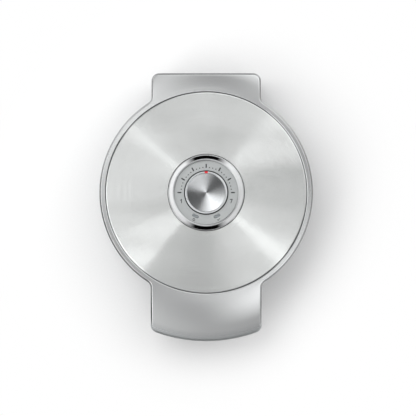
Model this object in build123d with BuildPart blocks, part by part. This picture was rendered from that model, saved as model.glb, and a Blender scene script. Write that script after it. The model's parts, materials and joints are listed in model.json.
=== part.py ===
from build123d import *
import os
from math import asin, cos, degrees, hypot, radians, sin, sqrt, tan

# Heart waffle maker: a round countertop cooker with a hinged lid, a heat dial and heart-shaped plates.
# Millimetres. +Z is up, the handle points to -Y and the hinge is at +Y. The origin lies on the table,
# under the middle of the whole outline, and the plates' centre is a little behind it.

# Hearts of the waffle plates: from these come the plates, from the plates the wells and the body
heart_count = 5
heart_lobe_radius = 21.7
heart_lobe_offset = 19.51
heart_rib = 3.2
heart_depth = 6.0
heart_taper = 12.0
heart_corner = 2.0
moat_margin = 3.0
moat_width = 3.0
moat_depth = 2.0
moat_wall = 1.0
flange_width = 6.0
plate_fit = 0.6
body_margin = 15.4

# Plan of the lid, as seen from above: what stands out of the round body to the rear and to the front
rear_tab = 14.3
rear_width = 123.0
rear_corner = 8.5
handle_length = 47.4
front_width = 125.0
front_corner = 9.0
neck_radius = 7.5

# The base stays inside the lid's outline, and its front lip is shorter than the handle
base_inset = 1.0
base_lip = 20.0

# Heights above the table
foot_height = 4.0
parting_z = 46.0
lid_top_z = 82.0
cover_centre_z = 85.2
knob_top_z = 91.1

# Walls, fits and gaps. A corner or edge is picked by its place to within the pick gap
wall = 2.5
slip = 0.2
snug = 0.05
free_gap = 0.6
pick_gap = 0.01
shell_gap = 1.2
plate_gap = 0.8

# Lid shell
shoulder = 1.5
crown_gap = 0.8
crown_radius = 129.0
lip_height = 0.8
lip_width = 1.6
lip_round = 0.5
cover_gap = 0.4
deck_drop = 2.4
undercut_gap = 2.0
undercut_radius = 45.0
underside_gap = 6.0
handle_screw_place = 44.0
handle_screw_back = 1.0
handle_screw_sink = 1.2

# Base shell
base_taper = 3.0
base_bottom_round = 6.0
chin_inset = 6.4
chin_top_z = 31.0
chin_spare = 8.5

# Base pan and cord wrap
pan_inset = 12.0
pan_rim = 9.0
pan_fit = 1.0
pan_height = 4.0
pan_sheet = 2.4
wrap_inner_radius = 58.0
wrap_outer_radius = 81.0
wrap_depth = 9.5
wrap_tab_count = 4
wrap_tab_reach = 12.0
wrap_tab_width = 16.0
wrap_tab_thickness = 2.0
vent_count = 12
vent_circle = 36.0
vent_length = 22.0
vent_width = 3.0
foot_radius = 8.5
foot_inset = 6.5
foot_socket = 1.0
foot_chamfer = 1.0
foot_count = 4

# Waffle plates
flange_thickness = 4.6
plate_thickness = 14.0
ledge_width = 5.6
ledge_thickness = 2.1
stud_pitch = 12.6
stud_columns = 6
stud_rows = 7
stud_shift = 4.0
stud_size = 8.4
stud_height = 3.2
stud_taper = 16.0
stud_margin = 3.8

# Heating elements and heat shields
element_circle = 62.0
element_radius = 3.3
element_gap_angle = 34.0
element_pin_length = 13.0
shield_drop = 6.3
shield_sheet = 0.8
shield_edge = 2.0
shield_slope = 4.5
boss_inset = 7.5
boss_radius = 4.5
boss_count = 3
boss_angle = 30.0

# Screws and the posts that they go into
screw_radius = 1.6
screw_head_radius = 3.2
screw_head = 1.8
screw_count = 4
screw_length = 8.0
plate_screw_inset = 2.0
plate_screw_skin = 1.6
between_posts = 45.0
post_radius = 4.2

# Cover disc and dial
cover_border = 7.0
cover_sheet = 1.0
cover_fall = 2.6
cover_edge_round = 1.6
cover_hole = 41.0
cover_seat = 43.6
bezel_outer = 43.1
bezel_inner = 36.1
bezel_height = 4.55
bezel_bulge = 0.5
bezel_round = 1.4
housing_radius = 35.8
housing_wall = 2.4
housing_floor_z = 74.0
housing_floor = 2.0
housing_flange = 1.8
housing_flange_radius = 41.4
housing_screw_count = 3
housing_screw_circle = 38.4
small_screw_radius = 1.2
small_screw_head_radius = 2.3
small_screw_head = 1.2
dial_plate_hole = 24.9
dial_plate_sheet = 1.2
dial_rise = 0.6
lens_circle = 28.9
lens_angle = 24.6
lens_length = 8.2
lens_width = 3.6
lens_flange = 0.9
lens_foot_z = 80.0
lamp_radius = 1.5
knob_radius = 23.7
knob_rim = 1.9
knob_recess = 1.9
knob_web = 2.0
knob_skirt_z = 78.0
knob_hub_radius = 6.0
knob_rim_round = 0.7
cap_dish = 0.2
cap_edge = 0.2
pointer_width = 3.6
pointer_depth = 1.6
pointer_proud = 0.1

# Thermostat and its shaft
thermostat_radius = 13.0
thermostat_height = 9.6
thermostat_bush_radius = 5.0
thermostat_bush = 2.4
thermostat_hole = 23.5
thermostat_chamfer = 1.0
strap_thickness = 1.0
strap_length = 44.0
strap_width = 10.0
strap_hole_place = 17.5
strap_screw_grip = 4.0
shaft_radius = 3.0
shaft_flat = 2.2
hub_lift = 1.0
fuse_radius = 2.3
fuse_length = 16.0
fuse_lead_length = 9.0
fuse_lead_radius = 0.5
fuse_place = 32.0
fuse_chamfer = 0.4
clip_sheet = 0.6
clip_width = 7.0
clip_foot = 5.0

# Hinge: a rod across the rear that turns in the base and slides in slots of the lid's arms
hinge_inset = 11.0
hinge_drop = 1.0
rod_radius = 3.0
rod_flat = 2.25
rod_side_gap = 3.5
rod_end_chamfer = 0.4
rod_overhang = 2.0
barrel_radius = 7.5
barrel_bridge = 1.0
float_travel = 6.0
arm_thickness = 3.0
arm_inset = 16.0
arm_half_width = 6.0
arm_side_gap = 0.5
arm_end_wall = 3.0
arm_foot_z = 72.0
arm_foot_width = 16.5
arm_foot_rear = 8.0
arm_foot_length = 22.0
arm_foot_thickness = 2.5
arm_boss_radius = 3.5
arm_corner = 3.0
arm_screw_end = 4.0
arm_screw_side = 1.0
arm_screw_grip = 4.0
liner_rear_gap = 1.5
liner_rear_drop = 2.0
web_front = 6.0
web_thickness = 2.5
shelf_drop = 15.5
clip_groove_depth = 0.8
clip_end_gap = 0.4
ring_clip_sheet = 0.8
ring_clip_radius = 5.0

# Cord outlet and terminals
gland_height = 20.3
gland_radius = 5.5
gland_flange_radius = 7.0
gland_bore = 3.6
gland_flange = 1.2
gland_tail = 2.2
gland_tail_radius = 6.3
gland_lean = 0.6
gland_round = 0.5
terminal_length = 30.0
terminal_width = 10.0
terminal_height = 9.0
terminal_place = 86.0
terminal_chamfer = 1.0
lead_radius = 1.2
lead_spacing = 16.0
lead_bend = 2.2

# Plan sizes worked out from the sizes above
heart_half_angle = radians(180 / heart_count)
heart_lobe_x = (heart_lobe_radius + heart_rib / 2 + heart_lobe_offset * cos(heart_half_angle)) / sin(
    heart_half_angle
)
heart_reach = hypot(heart_lobe_x, heart_lobe_offset) + heart_lobe_radius
moat_inner = heart_reach + moat_margin
moat_outer = moat_inner + moat_width
plate_radius = moat_outer + moat_wall
flange_radius = plate_radius + flange_width
plate_screw_circle = flange_radius - plate_screw_inset
well_radius = flange_radius + plate_fit
body_radius = well_radius + body_margin
rear_reach = body_radius + rear_tab
front_reach = body_radius + handle_length
base_front_reach = body_radius + base_lip
cover_radius = body_radius - cover_border
lip_radius = cover_radius + cover_gap + lip_width
crown_start = lip_radius + crown_gap
underside_split = body_radius + underside_gap
undercut_start = base_front_reach + undercut_gap
handle_screw_reach = undercut_start - handle_screw_back
chin_start = body_radius - chin_inset
chin_width = front_width + 2 * chin_spare
pan_radius = body_radius - pan_inset
pan_opening_radius = pan_radius - pan_rim
foot_circle = pan_opening_radius - foot_inset
post_circle = pan_radius - pan_rim / 2
shield_radius = plate_radius - shield_edge
shield_floor_radius = shield_radius - shield_slope
boss_circle = shield_floor_radius - boss_inset
rod_half_length = rear_width / 2 - rod_side_gap
barrel_half_length = rod_half_length - rod_overhang
arm_place = barrel_half_length - arm_inset
clip_place = barrel_half_length + clip_end_gap

# Places worked out from the sizes above
centre_y = (front_reach - rear_reach) / 2
upright = Axis((0, centre_y, 0), (0, 0, 1))
base_top_z = parting_z - shell_gap / 2
lid_edge_z = parting_z + shell_gap / 2
lower_land_z = parting_z - plate_gap / 2
lower_back_z = lower_land_z - plate_thickness
lower_shield_z = lower_back_z - shield_drop
upper_back_z = 2 * parting_z - lower_back_z
pan_bottom_z = foot_height
shell_bottom_z = pan_bottom_z + pan_height
shell_floor_z = shell_bottom_z + wall
ledge_top_z = lower_land_z - flange_thickness
ledge_bottom_z = ledge_top_z - ledge_thickness
deck_z = lid_top_z - deck_drop
deck_under_z = deck_z - wall
hinge_reach = rear_reach - hinge_inset
hinge_y = centre_y + hinge_reach
hinge_z = parting_z - hinge_drop
hinge_plane = Plane((0, hinge_y, hinge_z), x_dir=(0, 1, 0), z_dir=(1, 0, 0))
shelf_z = hinge_z - shelf_drop
shelf_lean = (base_top_z - shelf_z + wall) * tan(radians(base_taper))
arm_bottom = float_travel + rod_radius + snug + arm_end_wall
arm_swing = hypot(arm_bottom, arm_half_width) + free_gap
liner_rear = hinge_reach - barrel_radius - liner_rear_gap
dial_seat_z = cover_centre_z + dial_rise - dial_plate_sheet

below = (Align.CENTER, Align.CENTER, Align.MAX)
above = (Align.CENTER, Align.CENTER, Align.MIN)
os.makedirs("parts", exist_ok=True)


def level(height):
    """The horizontal plane through the plates' axis at a height."""
    return Plane((0, centre_y, height))


def slice_at(angle):
    """An upright plane through the axis: its x is the distance from the axis and its y the height."""
    outward = Vector(cos(radians(angle)), sin(radians(angle)), 0)
    return Plane((0, centre_y, 0), x_dir=outward, z_dir=outward.cross(Vector(0, 0, 1)))


def strip(inner, outer, bottom, top, mode=Mode.ADD):
    """A rectangle of a half section, between two radii and two heights."""
    with Locations((inner, bottom)):
        Rectangle(outer - inner, top - bottom, align=Align.MIN, mode=mode)


def flipped(piece):
    """The same piece turned over to the other side of the parting plane."""
    return mirror(piece, about=level(parting_z))


def screw(length, radius=screw_radius, head_radius=screw_head_radius, head=screw_head):
    """A screw at each place, its head below the place and its shank above."""
    Cylinder(head_radius, head, align=below)
    Cylinder(radius, length, align=above)


def plan(side, rear, rear_wide, front, front_wide):
    """The body from above: a circle, a tab to the rear and a front lip whose edge is a concentric arc."""
    with BuildSketch(Plane.XY) as lip:
        Circle(front)
        Rectangle(front_wide, front, align=(Align.CENTER, Align.MAX), mode=Mode.INTERSECT)
    with BuildSketch(Plane.XY) as shape:
        Circle(side)
        Rectangle(rear_wide, rear, align=(Align.CENTER, Align.MIN))
        add(lip.sketch)
        fillet(shape.vertices().sort_by(Axis.Y)[-2:], rear_corner)
        fillet(shape.vertices().sort_by(Axis.Y)[:2], front_corner)
        necks = shape.vertices().filter_by(lambda v: abs(hypot(v.X, v.Y) - side) < pick_gap)
        fillet(necks.filter_by(lambda v: abs(v.Y) > pick_gap), neck_radius)
    return shape.sketch


def inset(shape, amount):
    """A plan drawn in by an even amount."""
    with BuildSketch(Plane.XY) as smaller:
        add(shape)
        offset(amount=-amount, kind=Kind.INTERSECTION, mode=Mode.REPLACE)
    return smaller.sketch


lid_plan = plan(body_radius, rear_reach, rear_width, front_reach, front_width)
base_plan = plan(
    body_radius - base_inset,
    rear_reach - base_inset,
    rear_width - 2 * base_inset,
    base_front_reach,
    front_width - 2 * base_inset,
)


def heart(margin):
    """One heart, its point towards the axis and its lobes outwards along +X, drawn in by a margin."""
    lobe = heart_lobe_radius - margin
    point = ((heart_rib / 2 + margin) / sin(heart_half_angle), 0)
    touch = (
        heart_lobe_x - lobe * sin(heart_half_angle),
        heart_lobe_offset + lobe * cos(heart_half_angle),
    )
    lobe_places = [(heart_lobe_x, heart_lobe_offset), (heart_lobe_x, -heart_lobe_offset)]
    with BuildSketch(Plane.XY) as shape:
        with Locations(*lobe_places):
            Circle(lobe)
        Polygon(point, (touch[0], -touch[1]), lobe_places[1], lobe_places[0], touch, align=None)
        fillet(shape.vertices().filter_by(lambda v: abs(v.Y) < pick_gap), heart_corner)
    return shape.sketch


# One heart of a plate: the hollow with its slanted wall, less a grid of square studs that stops at the wall
with BuildSketch(Plane.XY) as stud_grid:
    with Locations((element_circle - stud_shift, 0)):
        with GridLocations(stud_pitch, stud_pitch, stud_columns, stud_rows):
            Rectangle(stud_size, stud_size)
    add(heart(stud_margin), mode=Mode.INTERSECT)
stud_faces = [face for face in stud_grid.faces() if face.area > 2 * stud_size]

with BuildPart() as heart_hollow:
    with BuildSketch(level(lower_land_z)):
        add(heart(0))
    extrude(amount=-heart_depth, taper=heart_taper)
    with BuildSketch(level(lower_land_z - heart_depth)):
        add(stud_faces)
    extrude(amount=stud_height, taper=stud_taper, mode=Mode.SUBTRACT)

# Lower waffle plate: a die-cast disc with five hearts, a drip channel, a flange and bosses on its back
with BuildPart() as lower_plate:
    with BuildSketch(slice_at(0)):
        strip(0, flange_radius, ledge_top_z, lower_land_z)
        strip(0, plate_radius, lower_back_z, ledge_top_z)
        strip(moat_inner, moat_outer, lower_land_z - moat_depth, lower_land_z, Mode.SUBTRACT)
        with Locations((element_circle, lower_back_z)):
            Circle(element_radius + snug, mode=Mode.SUBTRACT)
    revolve(axis=upright)
    with BuildSketch(level(lower_back_z)):
        with PolarLocations(boss_circle, boss_count, start_angle=boss_angle):
            Circle(boss_radius)
    extrude(amount=-shield_drop)
    with Locations(level(lower_shield_z)):
        with PolarLocations(boss_circle, boss_count, start_angle=boss_angle):
            Cylinder(screw_radius + snug, screw_length + snug, align=above, mode=Mode.SUBTRACT)
    with Locations(level(ledge_top_z)):
        with PolarLocations(plate_screw_circle, screw_count, start_angle=between_posts):
            Cylinder(
                screw_radius + snug, flange_thickness - plate_screw_skin, align=above, mode=Mode.SUBTRACT
            )
    for turn in range(heart_count):
        add(heart_hollow.part.rotate(upright, 90 + turn * 360 / heart_count), mode=Mode.SUBTRACT)
lower_plate.part.label = "lower_waffle_plate"
export_step(lower_plate.part, "parts/lower_waffle_plate.step")

# Upper waffle plate: the same casting turned over, with two holes for the thermostat's screws
with BuildPart() as upper_plate:
    add(flipped(lower_plate.part))
    with Locations(level(upper_back_z)):
        with Locations((strap_hole_place, 0), (-strap_hole_place, 0)):
            Cylinder(small_screw_radius + snug, strap_screw_grip, align=below, mode=Mode.SUBTRACT)
upper_plate.part.label = "upper_waffle_plate"
export_step(upper_plate.part, "parts/upper_waffle_plate.step")

# Heating element: a sheathed tube in a ring that is open to the rear, half sunk in the plate's back
element_half_gap = element_gap_angle / 2
pin_angles = [90 - element_half_gap, 90 + element_half_gap]
pin_spots = [
    (element_circle * cos(radians(angle)), element_circle * sin(radians(angle))) for angle in pin_angles
]
with BuildPart() as lower_element:
    with BuildSketch(slice_at(pin_angles[1])):
        with Locations((element_circle, lower_back_z)):
            Circle(element_radius)
    revolve(axis=upright, revolution_arc=360 - element_gap_angle)
    with Locations(level(lower_back_z)):
        with Locations(*pin_spots):
            Sphere(element_radius)
            Cylinder(element_radius, element_pin_length, align=below)
lower_element.part.label = "lower_heating_element"
export_step(lower_element.part, "parts/lower_heating_element.step")

with BuildPart() as upper_element:
    add(flipped(lower_element.part))
upper_element.part.label = "upper_heating_element"
export_step(upper_element.part, "parts/upper_heating_element.step")

# Heat shields: shallow sheet dishes over the elements, screwed to the plates' bosses
with BuildPart() as lower_shield:
    with BuildSketch(slice_at(0)):
        Polygon(
            (0, lower_shield_z - shield_sheet),
            (shield_floor_radius, lower_shield_z - shield_sheet),
            (shield_radius, lower_back_z),
            (shield_radius - shield_sheet, lower_back_z),
            (shield_floor_radius - shield_sheet, lower_shield_z),
            (0, lower_shield_z),
            align=None,
        )
    revolve(axis=upright)
    with Locations(level(lower_shield_z)):
        with Locations(*pin_spots):
            Cylinder(element_radius + free_gap, 2 * shield_sheet, align=Align.CENTER, mode=Mode.SUBTRACT)
        with PolarLocations(boss_circle, boss_count, start_angle=boss_angle):
            Cylinder(screw_radius + slip, 2 * shield_sheet, align=Align.CENTER, mode=Mode.SUBTRACT)
lower_shield.part.label = "lower_heat_shield"
export_step(lower_shield.part, "parts/lower_heat_shield.step")

with BuildPart() as upper_shield:
    add(flipped(lower_shield.part))
    with Locations(level(upper_back_z + shield_drop)):
        Cylinder(thermostat_hole, 3 * shield_sheet, align=Align.CENTER, mode=Mode.SUBTRACT)
upper_shield.part.label = "upper_heat_shield"
export_step(upper_shield.part, "parts/upper_heat_shield.step")

with BuildPart() as lower_shield_screws:
    with Locations(level(lower_shield_z - shield_sheet)):
        with PolarLocations(boss_circle, boss_count, start_angle=boss_angle):
            screw(screw_length)
lower_shield_screws.part.label = "lower_shield_screws"
export_step(lower_shield_screws.part, "parts/lower_shield_screws.step")

with BuildPart() as upper_shield_screws:
    add(flipped(lower_shield_screws.part))
upper_shield_screws.part.label = "upper_shield_screws"
export_step(upper_shield_screws.part, "parts/upper_shield_screws.step")

# The screws that hold each plate to its black liner
with BuildPart() as lower_plate_screws:
    with Locations(level(ledge_bottom_z)):
        with PolarLocations(plate_screw_circle, screw_count, start_angle=between_posts):
            screw(ledge_thickness + flange_thickness - plate_screw_skin - slip)
lower_plate_screws.part.label = "lower_plate_screws"
export_step(lower_plate_screws.part, "parts/lower_plate_screws.step")

with BuildPart() as upper_plate_screws:
    add(flipped(lower_plate_screws.part))
upper_plate_screws.part.label = "upper_plate_screws"
export_step(upper_plate_screws.part, "parts/upper_plate_screws.step")


def carrier(post_end_z):
    """The well that holds the lower plate by its flange, and screw posts from its ledge to a height."""
    with BuildPart() as well:
        with BuildSketch(slice_at(0)):
            strip(well_radius, well_radius + wall, ledge_bottom_z, base_top_z)
            strip(well_radius - ledge_width, well_radius + wall, ledge_bottom_z, ledge_top_z)
        revolve(axis=upright)
        with BuildSketch(level(post_end_z)):
            with PolarLocations(post_circle, screw_count):
                Circle(post_radius)
        extrude(amount=ledge_bottom_z - post_end_z)
        with Locations(level(post_end_z)):
            with PolarLocations(post_circle, screw_count):
                Cylinder(screw_radius + snug, screw_length + wall, align=above, mode=Mode.SUBTRACT)
        with Locations(level(ledge_bottom_z)):
            with PolarLocations(plate_screw_circle, screw_count, start_angle=between_posts):
                Cylinder(screw_radius + snug, ledge_thickness, align=above, mode=Mode.SUBTRACT)
    return well.part


base_carrier = carrier(shell_floor_z)
lid_carrier = flipped(carrier(2 * parting_z - deck_under_z))

# Base liner: the black panel round the lower plate, with the hinge barrel, its web and the rear shelf
with BuildPart() as base_liner:
    with BuildSketch(level(base_top_z)):
        add(inset(base_plan, wall + slip))
        with Locations((0, hinge_reach - web_front + web_thickness)):
            Rectangle(2 * body_radius, body_radius, align=(Align.CENTER, Align.MIN), mode=Mode.SUBTRACT)
        Circle(well_radius, mode=Mode.SUBTRACT)
    extrude(amount=-wall)
    with BuildSketch(level(shelf_z)):
        add(inset(base_plan, wall + slip + shelf_lean))
        with Locations((0, hinge_reach - web_front)):
            Rectangle(2 * front_reach, 2 * front_reach, align=(Align.CENTER, Align.MAX), mode=Mode.SUBTRACT)
    extrude(amount=-wall)
    with BuildSketch(level(shelf_z)):
        with Locations((0, hinge_reach - web_front)):
            Rectangle(2 * barrel_half_length, web_thickness, align=(Align.CENTER, Align.MIN))
    extrude(amount=hinge_z - shelf_z - rod_radius - barrel_bridge)
    with Locations(hinge_plane):
        Cylinder(barrel_radius, 2 * barrel_half_length)
    add(base_carrier)
    with Locations(hinge_plane):
        Cylinder(rod_radius + snug, 2 * rod_half_length, mode=Mode.SUBTRACT)
        with Locations((0, 0, arm_place), (0, 0, -arm_place)):
            Cylinder(arm_swing, arm_thickness + 2 * arm_side_gap, mode=Mode.SUBTRACT)
        with Locations((0, 0, barrel_half_length)):
            Cylinder(ring_clip_radius + free_gap, wall, align=above, mode=Mode.SUBTRACT)
        with Locations((0, 0, -barrel_half_length)):
            Cylinder(ring_clip_radius + free_gap, wall, align=below, mode=Mode.SUBTRACT)
base_liner.part.label = "base_liner"
export_step(base_liner.part, "parts/base_liner.step")


def base_form(shrink):
    """The base's form drawn in by a wall: leaning sides, a rounded bottom edge and a chin under the lip."""
    floor_z = shell_bottom_z + shrink
    slope = Vector(base_front_reach - chin_start, chin_top_z - shell_bottom_z).normalized()
    inward = Vector(-slope.Y, slope.X) * shrink
    low = Vector(chin_start, shell_bottom_z) + inward - slope * wall * 2
    high = Vector(base_front_reach, chin_top_z) + inward + slope * wall * 2
    with BuildPart() as chin:
        with BuildSketch(slice_at(0)):
            Polygon((low.X, low.Y), (high.X, low.Y), (high.X, high.Y), align=None)
        revolve(axis=upright)
        with Locations(level(0)):
            Box(
                chin_width, body_radius * 2, body_radius, align=(Align.CENTER, Align.MAX, Align.CENTER),
                mode=Mode.INTERSECT,
            )
    with BuildPart() as form:
        with BuildSketch(level(base_top_z)):
            add(inset(base_plan, shrink) if shrink else base_plan)
        extrude(amount=floor_z - base_top_z, taper=base_taper)
        fillet(form.edges().group_by(Axis.Z)[0], base_bottom_round - shrink / 2)
        add(chin.part, mode=Mode.SUBTRACT)
    return form.part


# Base shell: the silver lower housing, cut down behind the hinge so that the lid can swing there
base_outer = base_form(0)
base_inner = base_form(wall)
with BuildPart() as base_shell:
    add(base_outer)
    add(base_inner, mode=Mode.SUBTRACT)
    with Locations((0, hinge_y - web_front + web_thickness, shelf_z)):
        Box(
            2 * body_radius, body_radius, body_radius, align=(Align.CENTER, Align.MIN, Align.MIN),
            mode=Mode.SUBTRACT,
        )
    with Locations(level(shell_bottom_z)):
        Cylinder(pan_opening_radius, wall, align=above, mode=Mode.SUBTRACT)
        with PolarLocations(post_circle, screw_count):
            Cylinder(screw_radius + slip, wall, align=above, mode=Mode.SUBTRACT)
    with Locations(Plane((0, centre_y + rear_reach, gland_height), z_dir=(0, 1, 0))):
        Cylinder(gland_radius + snug, 3 * gland_radius, mode=Mode.SUBTRACT)
base_shell.part.label = "base_shell"
export_step(base_shell.part, "parts/base_shell.step")

# Base pan: the black underside with vents, a ring-shaped cord wrap and sockets for the feet
with BuildPart() as base_pan:
    with BuildSketch(slice_at(0)):
        strip(0, pan_radius, pan_bottom_z, pan_bottom_z + pan_sheet)
        strip(pan_opening_radius + pan_fit, pan_radius, pan_bottom_z, shell_bottom_z)
        strip(
            wrap_inner_radius - pan_sheet, wrap_outer_radius + pan_sheet,
            pan_bottom_z, pan_bottom_z + wrap_depth + pan_sheet,
        )
        strip(wrap_inner_radius, wrap_outer_radius, pan_bottom_z, pan_bottom_z + wrap_depth, Mode.SUBTRACT)
    revolve(axis=upright)
    with BuildSketch(level(pan_bottom_z)):
        with PolarLocations(wrap_outer_radius + pan_sheet, wrap_tab_count):
            Rectangle(wrap_tab_reach + pan_sheet, wrap_tab_width, align=(Align.MAX, Align.CENTER))
    extrude(amount=wrap_tab_thickness)
    with BuildSketch(level(pan_bottom_z)):
        with PolarLocations(vent_circle, vent_count):
            SlotOverall(vent_length, vent_width)
    extrude(amount=pan_sheet, mode=Mode.SUBTRACT)
    with Locations(level(pan_bottom_z)):
        with PolarLocations(foot_circle, foot_count, start_angle=between_posts):
            Cylinder(foot_radius + snug, foot_socket, align=above, mode=Mode.SUBTRACT)
        with PolarLocations(post_circle, screw_count):
            Cylinder(screw_head_radius + slip, screw_head + slip, align=above, mode=Mode.SUBTRACT)
            Cylinder(screw_radius + slip, pan_height, align=above, mode=Mode.SUBTRACT)
base_pan.part.label = "base_pan"
export_step(base_pan.part, "parts/base_pan.step")

with BuildPart() as base_screws:
    with Locations(level(pan_bottom_z + screw_head + slip)):
        with PolarLocations(post_circle, screw_count):
            screw(pan_height - screw_head + wall + screw_length)
base_screws.part.label = "base_screws"
export_step(base_screws.part, "parts/base_screws.step")

# Rubber feet, pressed into the pan's sockets
foot_spots = PolarLocations(foot_circle, foot_count, start_angle=between_posts).local_locations
for number, spot in enumerate(foot_spots, 1):
    with BuildPart() as foot:
        with Locations((spot.position.X, centre_y + spot.position.Y, 0)):
            Cylinder(foot_radius, foot_height + foot_socket, align=above)
        chamfer(foot.edges().group_by(Axis.Z)[0], foot_chamfer)
    foot.part.label = f"foot_{number}"
    export_step(foot.part, f"parts/foot_{number}.step")

# Cord gland: a grommet in the rear wall with a flange on each side
gland_y = centre_y + rear_reach - base_inset - (base_top_z - gland_height) * tan(radians(base_taper))
with BuildPart() as cord_gland:
    with Locations(Plane((0, gland_y + gland_lean, gland_height), z_dir=(0, 1, 0))):
        Cylinder(gland_flange_radius, gland_flange, align=above)
        Cylinder(gland_radius, wall + 2 * gland_lean, align=below)
    with Locations(Plane((0, gland_y - gland_lean - wall, gland_height), z_dir=(0, 1, 0))):
        Cylinder(gland_tail_radius, gland_tail, align=below)
    fillet(cord_gland.edges().group_by(Axis.Y)[-1], gland_round)
    with Locations(Plane((0, gland_y, gland_height), z_dir=(0, 1, 0))):
        Cylinder(gland_bore, 2 * (wall + gland_lean + gland_tail + slip), mode=Mode.SUBTRACT)
cord_gland.part.label = "cord_gland"
export_step(cord_gland.part, "parts/cord_gland.step")

# Terminal block on the pan, and the two leads from it to the lower element's pins
terminal_top_z = pan_bottom_z + pan_sheet + terminal_height
with BuildPart() as terminal_block:
    with Locations((0, centre_y + terminal_place, pan_bottom_z + pan_sheet)):
        Box(terminal_length, terminal_width, terminal_height, align=(Align.CENTER, Align.MIN, Align.MIN))
    chamfer(terminal_block.edges().group_by(Axis.Z)[-1], terminal_chamfer)
terminal_block.part.label = "terminal_block"
export_step(terminal_block.part, "parts/terminal_block.step")

lead_y = centre_y + terminal_place + terminal_width / 2
with BuildPart() as inner_leads:
    for spot in pin_spots:
        side = 1 if spot[0] > 0 else -1
        lead_z = lower_back_z - element_pin_length + element_radius
        start = Vector(side * lead_spacing / 2, lead_y, terminal_top_z)
        bend = Vector(start.X, start.Y, lead_z)
        pin = Vector(spot[0], centre_y + spot[1], lead_z)
        end = pin + (bend - pin).normalized() * element_radius
        with BuildLine(Plane.XY):
            FilletPolyline(start, bend, end, radius=lead_bend)
        with BuildSketch(Plane(start, z_dir=(0, 0, 1))):
            Circle(lead_radius)
        sweep()
inner_leads.part.label = "inner_leads"
export_step(inner_leads.part, "parts/inner_leads.step")

# Thermal fuse on the lower plate's back, held by a sheet clip
fuse_plane = Plane((0, centre_y - fuse_place, lower_back_z - fuse_radius), x_dir=(0, 1, 0), z_dir=(1, 0, 0))
with BuildPart() as thermal_fuse:
    with Locations(fuse_plane):
        Cylinder(fuse_radius, fuse_length)
    chamfer(thermal_fuse.edges(), fuse_chamfer)
    with Locations(fuse_plane):
        Cylinder(fuse_lead_radius, fuse_length + 2 * fuse_lead_length)
thermal_fuse.part.label = "thermal_fuse"
export_step(thermal_fuse.part, "parts/thermal_fuse.step")

with BuildPart() as fuse_clip:
    with BuildSketch(fuse_plane):
        Circle(fuse_radius + clip_sheet + snug)
        with Locations((0, fuse_radius)):
            Rectangle(2 * (fuse_radius + clip_foot), clip_sheet, align=(Align.CENTER, Align.MAX))
            Rectangle(2 * (fuse_radius + clip_sheet + snug), fuse_radius, align=(Align.CENTER, Align.MAX))
        Circle(fuse_radius + snug, mode=Mode.SUBTRACT)
        with Locations((0, fuse_radius)):
            Rectangle(
                2 * (fuse_radius + snug), fuse_radius, align=(Align.CENTER, Align.MAX), mode=Mode.SUBTRACT
            )
            Rectangle(body_radius, fuse_radius, align=(Align.CENTER, Align.MIN), mode=Mode.SUBTRACT)
    extrude(amount=clip_width / 2, both=True)
fuse_clip.part.label = "fuse_clip"
export_step(fuse_clip.part, "parts/fuse_clip.step")

# Hinge rod with flats where it runs in the arms' slots, and a groove near each end
with BuildPart() as hinge_rod:
    with Locations(hinge_plane):
        Cylinder(rod_radius, 2 * rod_half_length)
    chamfer(hinge_rod.edges(), rod_end_chamfer)
    with Locations(hinge_plane):
        for side in (1, -1):
            with Locations((rod_flat, 0, side * arm_place)):
                Box(
                    rod_radius, 3 * rod_radius, arm_thickness + 2 * arm_side_gap,
                    align=(Align.MIN, Align.CENTER, Align.CENTER), mode=Mode.SUBTRACT,
                )
            with Locations((-rod_flat, 0, side * arm_place)):
                Box(
                    rod_radius, 3 * rod_radius, arm_thickness + 2 * arm_side_gap,
                    align=(Align.MAX, Align.CENTER, Align.CENTER), mode=Mode.SUBTRACT,
                )
    with BuildSketch(hinge_plane.offset(clip_place), hinge_plane.offset(-clip_place - ring_clip_sheet)):
        Circle(2 * rod_radius)
        Circle(rod_radius - clip_groove_depth, mode=Mode.SUBTRACT)
    extrude(amount=ring_clip_sheet, mode=Mode.SUBTRACT)
hinge_rod.part.label = "hinge_rod"
export_step(hinge_rod.part, "parts/hinge_rod.step")

with BuildPart() as rod_clips:
    with BuildSketch(hinge_plane.offset(clip_place), hinge_plane.offset(-clip_place - ring_clip_sheet)):
        Circle(ring_clip_radius)
        Circle(rod_radius - clip_groove_depth + snug, mode=Mode.SUBTRACT)
        Rectangle(rod_radius, ring_clip_radius, align=(Align.CENTER, Align.MIN), mode=Mode.SUBTRACT)
    extrude(amount=ring_clip_sheet)
rod_clips.part.label = "rod_clips"
export_step(rod_clips.part, "parts/rod_clips.step")

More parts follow.
